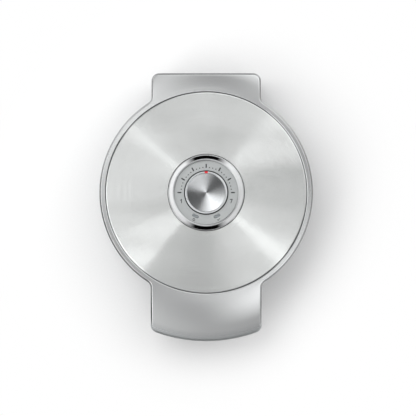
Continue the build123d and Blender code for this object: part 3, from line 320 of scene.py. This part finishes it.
def raise_by(tree, shader, pattern, height):
    """Bends the shading as if the pattern stood up by its height in millimetres."""
    bump = add_node(tree, "ShaderNodeBump", {"Height": pattern, "Distance": height * MM, "Strength": 1.0})
    tree.links.new(bump.outputs[0], shader.inputs["Normal"])


def grooves_round(tree, place, width, drift):
    """Noise that changes across the radius at the width of a groove in millimetres, and only slowly along it:
    object place times drift, plus the radius (U times 100 mm) divided by the width."""
    unrolled = add_node(tree, "ShaderNodeUVMap", uv_map="UVMap").outputs[0]
    across = add_node(tree, "ShaderNodeVectorMath", {0: unrolled, 1: (100 / width, 0, 0)},
                      operation="MULTIPLY")
    both = add_node(tree, "ShaderNodeVectorMath", {0: place, 1: (drift, drift, drift), 2: across.outputs[0]},
                    operation="MULTIPLY_ADD")
    return add_node(tree, "ShaderNodeTexNoise", {"Vector": both.outputs[0], "Scale": 1.0,
                                                 "Detail": 3.0}).outputs[0]


def outward_tangent(tree, shader):
    """Stretches the shine outwards, across grooves that run round: the tangent is the UV map's U."""
    tangent = add_node(tree, "ShaderNodeTangent", direction_type="UV_MAP", uv_map="UVMap").outputs[0]
    tree.links.new(tangent, shader.inputs["Tangent"])
    return tangent


# Silver metal-flake lacquer sprayed on moulded ABS, polished on top: clear soft reflections, a faint
# sparkle of flake, which is drawn ten times too coarse, and orange peel 8 mm across and 3 microns high. The
# sides, under the shoulder, are less polished, so they are softer. They are also painted greyer as painted
# shade, which tones down their bright reflection of the white paper
silver, tree, shader, place = material("silver_lacquer_on_abs", Metallic=1)
flake = add_node(tree, "ShaderNodeTexNoise", {"Vector": place, "Scale": 1600.0, "Detail": 1.0}).outputs[0]
tone, rough = dress(tree, shader, flake, ("#E6E8E8", "#EAEBEC"), (0.13, 0.15))
height = add_node(tree, "ShaderNodeSeparateXYZ", {"Vector": place}).outputs["Z"]
side = add_node(tree, "ShaderNodeMapRange", {"Value": height, "From Min": 75.5 * MM,
                                             "From Max": 72.0 * MM}).outputs[0]
# Painted shade: below the shoulder the colour turns greyer; the roughness rising to 0.34 is the real finish
painted_side_shade = add_node(tree, "ShaderNodeMix", {"Factor": side, 6: tone, 7: linear("#C6C9CA")},
                  data_type="RGBA").outputs[2]
softer = add_node(tree, "ShaderNodeMix", {"Factor": side, 2: rough, 3: 0.34}).outputs[0]
tree.links.new(painted_side_shade, shader.inputs["Base Color"])
tree.links.new(softer, shader.inputs["Roughness"])
peel = add_node(tree, "ShaderNodeTexNoise", {"Vector": place, "Scale": 125.0, "Detail": 0.0}).outputs[0]
raise_by(tree, shader, peel, 0.003)

# The same lacquer left unpolished on the base: an even satin silver with a fine sparkle, drawn at 0.7 mm
satin, tree, shader, place = material("satin_silver_lacquer", Metallic=0.9)
flake = add_node(tree, "ShaderNodeTexNoise", {"Vector": place, "Scale": 1400.0, "Detail": 2.0}).outputs[0]
dress(tree, shader, flake, ("#AEB1B3", "#BBBDBF"), (0.4, 0.46), 0.004)

# Black ABS moulded in a spark-eroded tool: a fine even grain, 0.8 mm across, that takes the shine off
black, tree, shader, place = material("moulded_black_abs", IOR=1.54)
grain = add_node(tree, "ShaderNodeTexNoise", {"Vector": place, "Scale": 1250.0, "Detail": 2.0}).outputs[0]
dress(tree, shader, grain, ("#18181A", "#212122"), (0.46, 0.6), 0.03)

# Fluoropolymer coating sprayed on cast aluminium: dark grey with pale mineral specks a millimetre apart, over
# the slow swells of the casting
coating, tree, shader, place = material("nonstick_coating", IOR=1.4)
speck = add_node(tree, "ShaderNodeTexVoronoi", {"Vector": place, "Scale": 900.0}).outputs["Distance"]
dress(tree, shader, speck, ("#47494D", "#292A2D"), (0.34, 0.46), span=(0.1, 0.28))
cast = add_node(tree, "ShaderNodeTexNoise", {"Vector": place, "Scale": 300.0, "Detail": 4.0}).outputs[0]
raise_by(tree, shader, cast, 0.05)

# Stainless sheet spun against a fine belt: the grooves run in circles, so light spreads outwards in wedges.
# The grooves are 0.1 mm wide, and their tones are drawn at 0.5 mm, to show
steel, tree, shader, place = material("circular_brushed_steel", Metallic=1, Anisotropic=1.0)
dress(tree, shader, grooves_round(tree, place, 0.5, 25.0), ("#E7E9E8", "#EEF0EF"), (0.21, 0.22))
# The groove walls lean in and out by up to 0.48 of the upright, which spreads the light far outwards and lets
# the wedges keep clean edges. They are drawn at 6 microns, so that one pixel holds many and none shows alone
tangent = outward_tangent(tree, shader)
walls = grooves_round(tree, place, 0.006, 25.0)
lean = add_node(tree, "ShaderNodeMapRange", {"Value": walls, "From Min": 0.25, "From Max": 0.75,
                                             "To Min": -0.48, "To Max": 0.48})
lean = add_node(tree, "ShaderNodeVectorMath", {0: tangent, "Scale": lean.outputs[0]}, operation="SCALE")
upright = add_node(tree, "ShaderNodeNewGeometry").outputs["Normal"]
facing = add_node(tree, "ShaderNodeVectorMath", {0: upright, 1: lean.outputs[0]}, operation="ADD")
facing = add_node(tree, "ShaderNodeVectorMath", {0: facing.outputs[0]}, operation="NORMALIZE")
tree.links.new(facing.outputs[0], shader.inputs["Normal"])

# Aluminium faced on a lathe with a diamond: finer circles and a smoother floor, so the wedges are brighter
# and sharper. The feed marks are drawn at 0.3 mm, to show
turned_metal, tree, shader, place = material("turned_aluminium", Metallic=1, Anisotropic=1.0)
dress(tree, shader, grooves_round(tree, place, 0.3, 30.0), ("#DDE0E2", "#EAECEE"), (0.056, 0.062))
outward_tangent(tree, shader)

# Bright chrome plated on ABS: a mirror, a little hazy in patches 14 mm wide, where fingers touch it
chrome, tree, shader, place = material("bright_chrome_plate", Metallic=1)
haze = add_node(tree, "ShaderNodeTexNoise", {"Vector": place, "Scale": 70.0, "Detail": 2.0}).outputs[0]
dress(tree, shader, haze, ("#F4F5F6", "#EFF0F1"), (0.05, 0.075))

# The same plate over a blasted face: a soft grey shine. The grit's grain is drawn at 0.7 mm, to show
satin_chrome, tree, shader, place = material("satin_chrome_plate", Metallic=1)
blast = add_node(tree, "ShaderNodeTexNoise", {"Vector": place, "Scale": 1500.0, "Detail": 1.0}).outputs[0]
dress(tree, shader, blast, ("#CCCECF", "#D8DADB"), (0.37, 0.43), 0.003)

# Pearl silver paint on the dial's moulding, flat and satin: the flake is drawn at 0.6 mm, three times too
# coarse
dial_paint, tree, shader, place = material("pearl_dial_paint", Metallic=0.7)
pearl = add_node(tree, "ShaderNodeTexNoise", {"Vector": place, "Scale": 1800.0, "Detail": 2.0}).outputs[0]
dress(tree, shader, pearl, ("#B9BCBC", "#C8CBCB"), (0.33, 0.39))

# Silver lacquer on the knob's ABS ring, with the light scratches that turning it leaves, 0.4 mm apart
knob_paint, tree, shader, place = material("knob_lacquer", Metallic=0.6)
around = add_node(tree, "ShaderNodeMapping", {"Vector": place, "Scale": (300.0, 300.0, 2500.0)}).outputs[0]
scratch = add_node(tree, "ShaderNodeTexNoise", {"Vector": around, "Scale": 1.0, "Detail": 3.0}).outputs[0]
dress(tree, shader, scratch, ("#C9CCCE", "#D6D8DA"), (0.27, 0.34))

# Red ABS, moulded through: glossy, with faint flow marks a millimetre wide
red, tree, shader, place = material("moulded_red_abs", IOR=1.54)
flow = add_node(tree, "ShaderNodeTexNoise", {"Vector": place, "Scale": 900.0, "Detail": 1.0}).outputs[0]
dress(tree, shader, flow, ("#CC1C28", "#DC2430"), (0.3, 0.38))

# Dark grey ink put on by a pad: a thin matt film, slightly starved in places half a millimetre across
ink, tree, shader, place = material("pad_printed_ink", IOR=1.5)
film = add_node(tree, "ShaderNodeTexNoise", {"Vector": place, "Scale": 2200.0, "Detail": 1.0}).outputs[0]
dress(tree, shader, film, ("#17191B", "#26282B"), (0.42, 0.52))

# Smoke-tinted polycarbonate windows, ribbed inside at about 1.8 mm to spread the lamp's light
smoke, tree, shader, place = material("ribbed_smoke_polycarbonate", IOR=1.58)
ribs = add_node(tree, "ShaderNodeTexWave", {"Vector": place, "Scale": 170.0, "Distortion": 0.0},
                bands_direction="Y").outputs["Fac"]
dress(tree, shader, ribs, ("#6F7476", "#868B8D"), (0.2, 0.3), 0.04)

# Blown glass of the small neon lamps: clear, with slow waves 4 mm long
bulb, tree, shader, place = material("blown_lamp_glass", IOR=1.5, Transmission_Weight=0.9)
wavy = add_node(tree, "ShaderNodeTexNoise", {"Vector": place, "Scale": 250.0}).outputs[0]
dress(tree, shader, wavy, ("#E4E6E4", "#F0F1EF"), (0.03, 0.08), 0.05)

# Moulded black rubber feet: matt, with a pale bloom that gathers in patches of 2.5 mm
rubber, tree, shader, place = material("moulded_black_rubber", IOR=1.52)
bloom = add_node(tree, "ShaderNodeTexNoise", {"Vector": place, "Scale": 400.0, "Detail": 4.0}).outputs[0]
dress(tree, shader, bloom, ("#1A1A1A", "#2C2C2B"), (0.68, 0.82), 0.03)

# Zinc-plated steel screws, clips and rod: crystals about 3 mm across, each a slightly different grey
zinc, tree, shader, place = material("zinc_plated_steel", Metallic=1)
spangle = add_node(tree, "ShaderNodeTexVoronoi", {"Vector": place, "Scale": 330.0}).outputs["Color"]
dress(tree, shader, spangle, ("#B6BABD", "#CDD0D2"), (0.28, 0.42))

# Aluminised steel sheet, cold rolled: long streaks along the rolling direction, 1 mm apart
sheet, tree, shader, place = material("rolled_aluminised_sheet", Metallic=1)
drawn_out = add_node(tree, "ShaderNodeMapping", {"Vector": place, "Scale": (25.0, 1000.0, 200.0)}).outputs[0]
streak = add_node(tree, "ShaderNodeTexNoise", {"Vector": drawn_out, "Scale": 1.0, "Detail": 3.0}).outputs[0]
dress(tree, shader, streak, ("#C2C4C5", "#D3D5D6"), (0.4, 0.52), 0.01)

# The element's steel sheath after its first heats: brown and blue-grey tints in patches of 17 mm, all dull
sheath, tree, shader, place = material("heat_tinted_sheath", Metallic=1)
tint = add_node(tree, "ShaderNodeTexNoise", {"Vector": place, "Scale": 60.0, "Detail": 4.0}).outputs[0]
dress(tree, shader, tint, ("#4C4B50", "#6E5F50"), (0.42, 0.6), 0.02)

# Seamless white paper under the object: a faint fibre, 2 mm long, and no shine. Away from the object it is
# plain white to the camera, and to metal and glass that show it, as a lit sweep of paper is, so no horizon
# shows. The shadow lies within that, and no more light falls on the object
table_paper, tree, shader, place = material("seamless_white_paper", Specular_IOR_Level=0.1)
fibre = add_node(tree, "ShaderNodeTexNoise", {"Vector": place, "Scale": 500.0, "Detail": 3.0}).outputs[0]
dress(tree, shader, fibre, ("#ECECEC", "#EEEEEE"), (0.88, 0.92))
away = add_node(tree, "ShaderNodeVectorMath", {0: place}, operation="LENGTH")
away = add_node(tree, "ShaderNodeMapRange", {"Value": away.outputs["Value"], "From Min": 0.14,
                                             "From Max": 0.26}, interpolation_type="SMOOTHSTEP")
seen = add_node(tree, "ShaderNodeLightPath")
mirrored = add_node(tree, "ShaderNodeMath", {0: seen.outputs["Is Glossy Ray"],
                                             1: seen.outputs["Is Transmission Ray"]}, operation="MAXIMUM")
in_sight = add_node(tree, "ShaderNodeMath", {0: seen.outputs["Is Camera Ray"], 1: mirrored.outputs[0]},
                    operation="MAXIMUM")
white = add_node(tree, "ShaderNodeMath", {0: away.outputs[0], 1: in_sight.outputs[0]}, operation="MULTIPLY")
glow = add_node(tree, "ShaderNodeEmission", {"Color": (1, 1, 1, 1), "Strength": 1.0})
blend = add_node(tree, "ShaderNodeMixShader", {0: white.outputs[0], 1: shader.outputs[0], 2: glow.outputs[0]})
tree.links.new(blend.outputs[0], tree.nodes["Material Output"].inputs["Surface"])

# ---- Table ----

floor = mesh_object("table", [(-4, -4, 0), (4, -4, 0), (4, 4, 0), (-4, 4, 0)], [(0, 1, 2, 3)])
floor.data.materials.append(table_paper)

# ---- Finishes of the part's own pieces, by slot; the base alone is left unpolished ----

by_slot = {"silver_plastic": silver, "black_plastic": black, "nonstick_coating": coating,
           "brushed_steel": steel, "chrome": chrome, "dial_plastic": dial_paint, "knob_plastic": knob_paint,
           "red_plastic": red, "lens_plastic": smoke, "glass": bulb, "rubber": rubber, "zinc_steel": zinc,
           "aluminised_sheet": sheet, "element_sheath": sheath}
for entry in frame["record"]["subparts"]:
    mesh = nodes[entry["node"]].data
    mesh.materials.clear()
    mesh.materials.append(satin if entry["node"] == "base_shell" else by_slot[entry["material_slot"]])

# ---- Pieces made again with a finer surface ----

# Cover disc: a coned sheet with a rolled-down edge
cover = turned("cover_disc_brushed", rounded(
    [(cover_hole, cover_centre_z), (cover_seat, cover_centre_z), (cover_radius, cover_edge_z),
     (cover_radius, deck_z), (cover_radius - cover_sheet, deck_z),
     (cover_radius - cover_sheet, cover_edge_z - cover_sheet), (cover_seat, cover_centre_z - cover_sheet),
     (cover_hole, cover_centre_z - cover_sheet)],
    [0, cover_cone_round, cover_edge_round, 0, 0, cover_inner_round, 0, 0]))
cover.data.materials.append(steel)
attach(cover, "lid")
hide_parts("cover_disc")

# Knob cap: a turned disc with a fine bevel and a shallow dish, which rises with the square of the radius
ring = np.linspace(cap_eye, cap_radius - cap_bevel_width, 40)
dish = np.stack([ring, knob_top_z - cap_dish + cap_dish * (ring / cap_radius) ** 2], -1)
cap = turned("knob_cap_turned", np.concatenate(
    [[(0, knob_top_z - cap_dish)], dish,
     [(cap_radius, knob_top_z - cap_bevel_drop), (cap_radius, cap_seat_z), (0, cap_seat_z)]]), closed=False)
cap.data.materials.append(turned_metal)
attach(cap, "knob")
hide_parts("knob_cap")

# Dial bezel: a ring walked outwards in short steps, each a length at a slope below level. A satin lip rises
# and bends over, a long face at nearly one slope takes the low belt of the sky, and a foot turns down to
# the cover. Each stretch gives its first and last slope in degrees, its length in millimetres and its steps
lip_stretch, face_stretch, foot_stretch = (-60, 33, 1.45, 16), (35.3, 38.7, 4.7, 14), (41, 64, 2.1, 8)
stretches = (lip_stretch, face_stretch, foot_stretch)
slopes = np.radians(np.concatenate([np.linspace(first, last, steps) for first, last, _, steps in stretches]))
lengths = np.concatenate([np.full(steps, length / steps) for *_, length, steps in stretches])
walk = np.cumsum(np.stack([np.cos(slopes) * lengths, -np.sin(slopes) * lengths], -1), axis=0)
walk = walk - walk[-1] + (bezel_outer, cover_centre_z)
stem = cover_hole - stem_gap
bezel = turned("dial_bezel_turned", np.concatenate(
    [[(bezel_inner, deck_z), (bezel_inner, walk[0, 1] - lip_rise)], walk,
     [(stem, cover_centre_z), (stem, deck_z)]]))
bezel.data.materials.append(chrome)
bezel.data.materials.append(satin_chrome)
plated = np.zeros((len(bezel.data.polygons) // round_parts, round_parts), int)
plated[:lip_stretch[-1] + 1] = 1
bezel.data.polygons.foreach_set("material_index", plated.ravel())
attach(bezel, "lid")
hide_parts("dial_bezel")

# A thin black ring under the bezel's outer edge, which shows as a dark line round it
dark_ring_foot_z = cover_centre_z - dark_ring_sunk
dark_ring = turned("bezel_dark_ring", rounded([(cover_hole, dark_ring_foot_z), (cover_hole, dark_ring_top_z),
                                     (dark_ring_outer, dark_ring_top_z), (dark_ring_outer, dark_ring_foot_z)],
                                    [0, 0, dark_ring_round, 0]))
dark_ring.data.materials.append(black)
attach(dark_ring, "lid")


# Lid shell: the moulded lid with its handle and hinge hood, in one closed surface

def arc(middle, radius, start, end, step=1.5):
    """Points and outward normals of a circle's arc from one angle to another; a negative radius is hollow."""
    count = max(6, int(abs(radians(end - start) * radius) / step)) + 1
    angle = np.radians(np.linspace(start, end, count))
    ray = np.stack([np.cos(angle), np.sin(angle)], -1)
    return np.array(middle) + abs(radius) * ray, np.sign(radius) * ray


def side_line(start, end, normal, step=3.0):
    """Points of a straight side between its ends, which its neighbours hold, all with one normal."""
    start, end = np.array(start), np.array(end)
    count = max(2, int(np.linalg.norm(end - start) / step))
    t = np.linspace(0, 1, count + 1)[1:-1, None]
    return start + t * (end - start), np.tile(normal, (count - 1, 1)).astype(float)


def lid_outline():
    """The lid from above, anticlockwise from the middle of the front: arcs and lines that touch each other
    for the right half, and the same mirrored for the left. A neck's middle lies where it is its radius away
    from the circle and from the straight side."""
    neck_y = [np.sqrt((body_radius + neck_radius) ** 2 - (half + neck_radius) ** 2)
              for half in (front_half, rear_half)]
    corner_x = front_half - front_corner
    corner_y = -np.sqrt((front_reach - front_corner) ** 2 - corner_x**2)
    turn = float(np.degrees(np.arctan2(corner_y, corner_x)))
    front_turn = float(np.degrees(np.arctan2(-neck_y[0], front_half + neck_radius)))
    rear_turn = float(np.degrees(np.arctan2(neck_y[1], rear_half + neck_radius)))
    rear_x, rear_y = rear_half - rear_corner, rear_reach - rear_corner
    pieces = [
        arc((0, 0), front_reach, -90, turn),
        arc((corner_x, corner_y), front_corner, turn, 0),
        side_line((front_half, corner_y), (front_half, -neck_y[0]), (1, 0)),
        arc((front_half + neck_radius, -neck_y[0]), -neck_radius, 180, front_turn + 180),
        arc((0, 0), body_radius, front_turn, rear_turn),
        arc((rear_half + neck_radius, neck_y[1]), -neck_radius, rear_turn + 180, 180),
        side_line((rear_half, neck_y[1]), (rear_half, rear_y), (1, 0)),
        arc((rear_x, rear_y), rear_corner, 0, 90),
        side_line((rear_x, rear_reach), (0, rear_reach), (0, 1)),
    ]
    points, normals = (np.concatenate(part) for part in zip(*pieces))
    # A point where one piece ends and the next starts is kept once
    keep = np.append(True, np.linalg.norm(np.diff(points, axis=0), axis=1) > 0.01)
    points, normals = points[keep], normals[keep]
    mirror_line = np.array([-1, 1])
    return (np.concatenate([points, [[0, rear_reach]], points[:0:-1] * mirror_line]),
            np.concatenate([normals, [[0, 1]], normals[:0:-1] * mirror_line]))


def crown(radius):
    """The lid's top: level to where the crown starts, then an arc that falls away from the axis. Its height
    is top - R + sqrt(R^2 - reach^2), and reach is the distance past the start."""
    reach = np.maximum(radius - crown_start, 0)
    return lid_top_z - crown_radius + np.sqrt(crown_radius**2 - reach**2), reach


def carried_round(name, rows, painted_shade_rows):
    """Closed rings of points, one per row, joined to a closed tube: row i to row i + 1 and the last to the
    first. The first bands of faces, as many as the last argument asks, get the second material, as painted
    shade."""
    rows = np.stack(rows)
    count, parts = rows.shape[:2]
    i, j = np.arange(count)[:, None], np.arange(parts)[None, :]
    near, far, following = i * parts, (i + 1) % count * parts, (j + 1) % parts
    faces = np.stack([near + j, near + following, far + following, far + j], -1)
    made = mesh_object(name, rows.reshape(-1, 3) * MM, faces.reshape(-1, 4), merge=False)
    second = np.zeros((count, parts), int)
    second[:painted_shade_rows] = 1
    made.data.polygons.foreach_set("material_index", second.ravel())
    return made


def shoulder_walk(first):
    """Steps of (slope in radians, length in mm) from the crown's own slope down to the upright side: a short
    bend to 39 degrees, a face at 40.5 degrees, which takes the dim edge of the sky as a dark line, and a roll
    to 90 degrees. Step k of a bend has the slope from + (to - from) (k + 1/2) / steps."""
    bend, bend_length, bend_steps = radians(39), 0.4, 8
    face, face_length, face_steps = radians(40.5), 2.3, 3
    roll_length, roll_steps = 0.5, 6
    steps = [(first + (bend - first) * (k + 0.5) / bend_steps, bend_length / bend_steps)
             for k in range(bend_steps)]
    steps += [(face + 0 * first, face_length / face_steps)] * face_steps
    steps += [(face + (pi / 2 - face) * (k + 0.5) / roll_steps + 0 * first, roll_length / roll_steps)
              for k in range(roll_steps)]
    return steps


def lid_surface():
    """Each section runs out from the dial hole over the seat, the lip and the crown to the shoulder, down the
    side, and back under the roof. Between the lip and the shoulder, and back again, the radius is mixed from
    the round crown's start to the outline: start + t (outline - start)."""
    outline, normals = lid_outline()
    distance = np.linalg.norm(outline, axis=1)
    ray = outline / distance[:, None]

    def at(plan, height):
        return np.concatenate([plan + (0, centre_y), np.broadcast_to(height, distance.shape)[:, None]], -1)

    # The seat's last corner only gives the lip's end its direction, and is dropped
    under_cover_z = cover_centre_z - cover_sheet
    collar = cover_hole + stem_gap
    seat = rounded([(housing_hole, deck_z), (collar, deck_z), (collar, under_cover_z),
                    (cover_seat, under_cover_z), (cover_seat, deck_z), (lip_inner, deck_z),
                    (lip_inner, lip_top_z), (crown_start, lid_top_z), (crown_start, deck_z)],
                   [0, 0, 0, 0, 0, 0, lip_round, 0, 0])[:-1]
    rows = [at(ray * radius, height) for radius, height in seat]
    # The crown
    start = outline - shoulder_width * normals
    inner = np.linalg.norm(start, axis=1)
    for t in np.linspace(0, 1, 15)[1:]:
        radius = crown_start + t * (inner - crown_start)
        rows.append(at(start / inner[:, None] * radius[:, None], crown(radius)[0]))
    # The shoulder
    height, reach = crown(inner)
    first = np.arctan(reach / np.sqrt(crown_radius**2 - reach**2)) * (ray * normals).sum(-1)
    place = start
    for slope, length in shoulder_walk(first):
        place = place + normals * (length * np.cos(slope))[:, None]
        height = height - length * np.sin(slope)
        rows.append(at(place, height))
    # The side, its lower edge and the inside of the wall
    rise = np.maximum(distance - undercut_start, 0)
    bottom = lid_edge_z + undercut_radius - np.sqrt(undercut_radius**2 - rise**2)
    down_the_side = (0.02, 0.5, 0.98)
    for t in down_the_side:
        rows.append(at(place, height + t * (bottom + edge_round - height)))
    on_arc = 0.3
    rows.append(at(place - on_arc * edge_round * normals, bottom + on_arc * edge_round))
    rows.append(at(place - edge_round * normals, bottom))
    within = outline - wall * normals
    roof = np.linalg.norm(within, axis=1)
    rows.append(at(within, bottom))
    rows.append(at(within, crown(roof)[0] - wall))
    # The roof's underside
    for t in np.linspace(1, 0, 12)[1:]:
        radius = crown_start + t * (roof - crown_start)
        rows.append(at(within / roof[:, None] * radius[:, None], crown(radius)[0] - wall))
    rows += [at(ray * lip_outer, deck_z - wall), at(ray * housing_hole, deck_z - wall)]
    # The seat is black as far as the foot of the lip's rounding: painted shade, so the gap round the cover
    # stays dark
    return carried_round("lid_shell_moulded", rows, painted_shade_rows=7)


lid = lid_surface()
lid.data.materials.append(silver)
# The second material, black ABS, is painted shade in the gap round the cover
lid.data.materials.append(black)
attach(lid, "lid")
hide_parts("lid_shell")


# Scale of the dial, printed: seven long marks a twelfth of a turn apart with three dots between each pair,
# a plain numeral at each end and a plain sign outside each lamp window

def printed(name, strokes):
    """Raised print: each stroke is a line with round ends, (x1, y1, x2, y2, width), as a thin plate. Its rim
    is half the width away from the line: end + half (cos t along + sin t across), and the start likewise."""
    strokes = np.array(strokes, float)
    start, end, half = strokes[:, None, 0:2], strokes[:, None, 2:4], strokes[:, None, 4:5] / 2
    along = end - start
    length = np.linalg.norm(along, axis=-1, keepdims=True)
    along = np.where(length > 0, along / np.maximum(length, 1e-9), [1.0, 0.0])
    across = along[..., ::-1] * (-1, 1)
    t = np.linspace(-pi / 2, pi / 2, 11)[None, :, None]
    reach = half * (np.cos(t) * along + np.sin(t) * across)
    rim = np.concatenate([end + reach, start - reach], 1) + (0, centre_y)
    count, parts = rim.shape[:2]
    top = dial_top_z + print_height
    heights = np.broadcast_to([[[[top]]], [[[top - print_depth]]]], (2, count, parts, 1))
    points = np.concatenate([np.broadcast_to(rim, (2, count, parts, 2)), heights], -1) * MM
    upper = np.arange(count * parts).reshape(count, parts)
    lower = upper + count * parts
    sides = np.stack([upper, lower, np.roll(lower, -1, 1), np.roll(upper, -1, 1)], -1).reshape(-1, 4)
    faces = upper.tolist() + lower[:, ::-1].tolist() + sides.tolist()
    return mesh_object(name, points.reshape(-1, 3), faces, merge=False)


def spot(angle, radius):
    """The point of the dial at an angle clockwise from 12 o'clock and a distance from the axis."""
    return np.array([np.sin(radians(angle)), np.cos(radians(angle))]) * radius


def drawn(place, width, points):
    """Strokes from each point to the next, with the points given from the place."""
    points = place + np.array(points)
    return [(*a, *b, width) for a, b in zip(points[:-1], points[1:])]


mark_inner, mark_outer, mark_width, dot_width = 28.3, 31.6, 1.4, 1.25
numeral_angle, numeral_radius, numeral_width = 109, 29.6, 0.8
sign_angle, sign_radius = 24.6, 33.2
marks = [(*spot(angle, mark_inner), *spot(angle, mark_outer), mark_width) for angle in range(-90, 91, 30)]
marks += [(*spot(angle, mark_inner), *spot(angle, mark_inner), dot_width)
          for angle in np.arange(-90, 91, 7.5) if angle % 30]
# A 1 at the low end and a 7 at the high end
marks += drawn(spot(-numeral_angle, numeral_radius), numeral_width, [(0.3, -2), (0.3, 2), (-0.9, 1.1)])
marks += drawn(spot(numeral_angle, numeral_radius), numeral_width, [(-1.2, 2), (1.2, 2), (-0.4, -2)])
# A broken ring with a bar outside the left window, and a tick outside the right one
power, ready = spot(180 + sign_angle, sign_radius), spot(180 - sign_angle, sign_radius)
turn = np.radians(np.linspace(120, 420, 17))
marks += drawn(power, 0.55, 1.2 * np.stack([np.cos(turn), np.sin(turn)], -1))
marks += drawn(power, 0.55, [(0, 0.4), (0, 1.5)])
marks += drawn(ready, 0.65, [(-1.3, 0), (-0.4, -1), (1.4, 1.1)])
scale = printed("dial_scale_print", marks)
scale.data.materials.append(ink)
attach(scale, "lid")
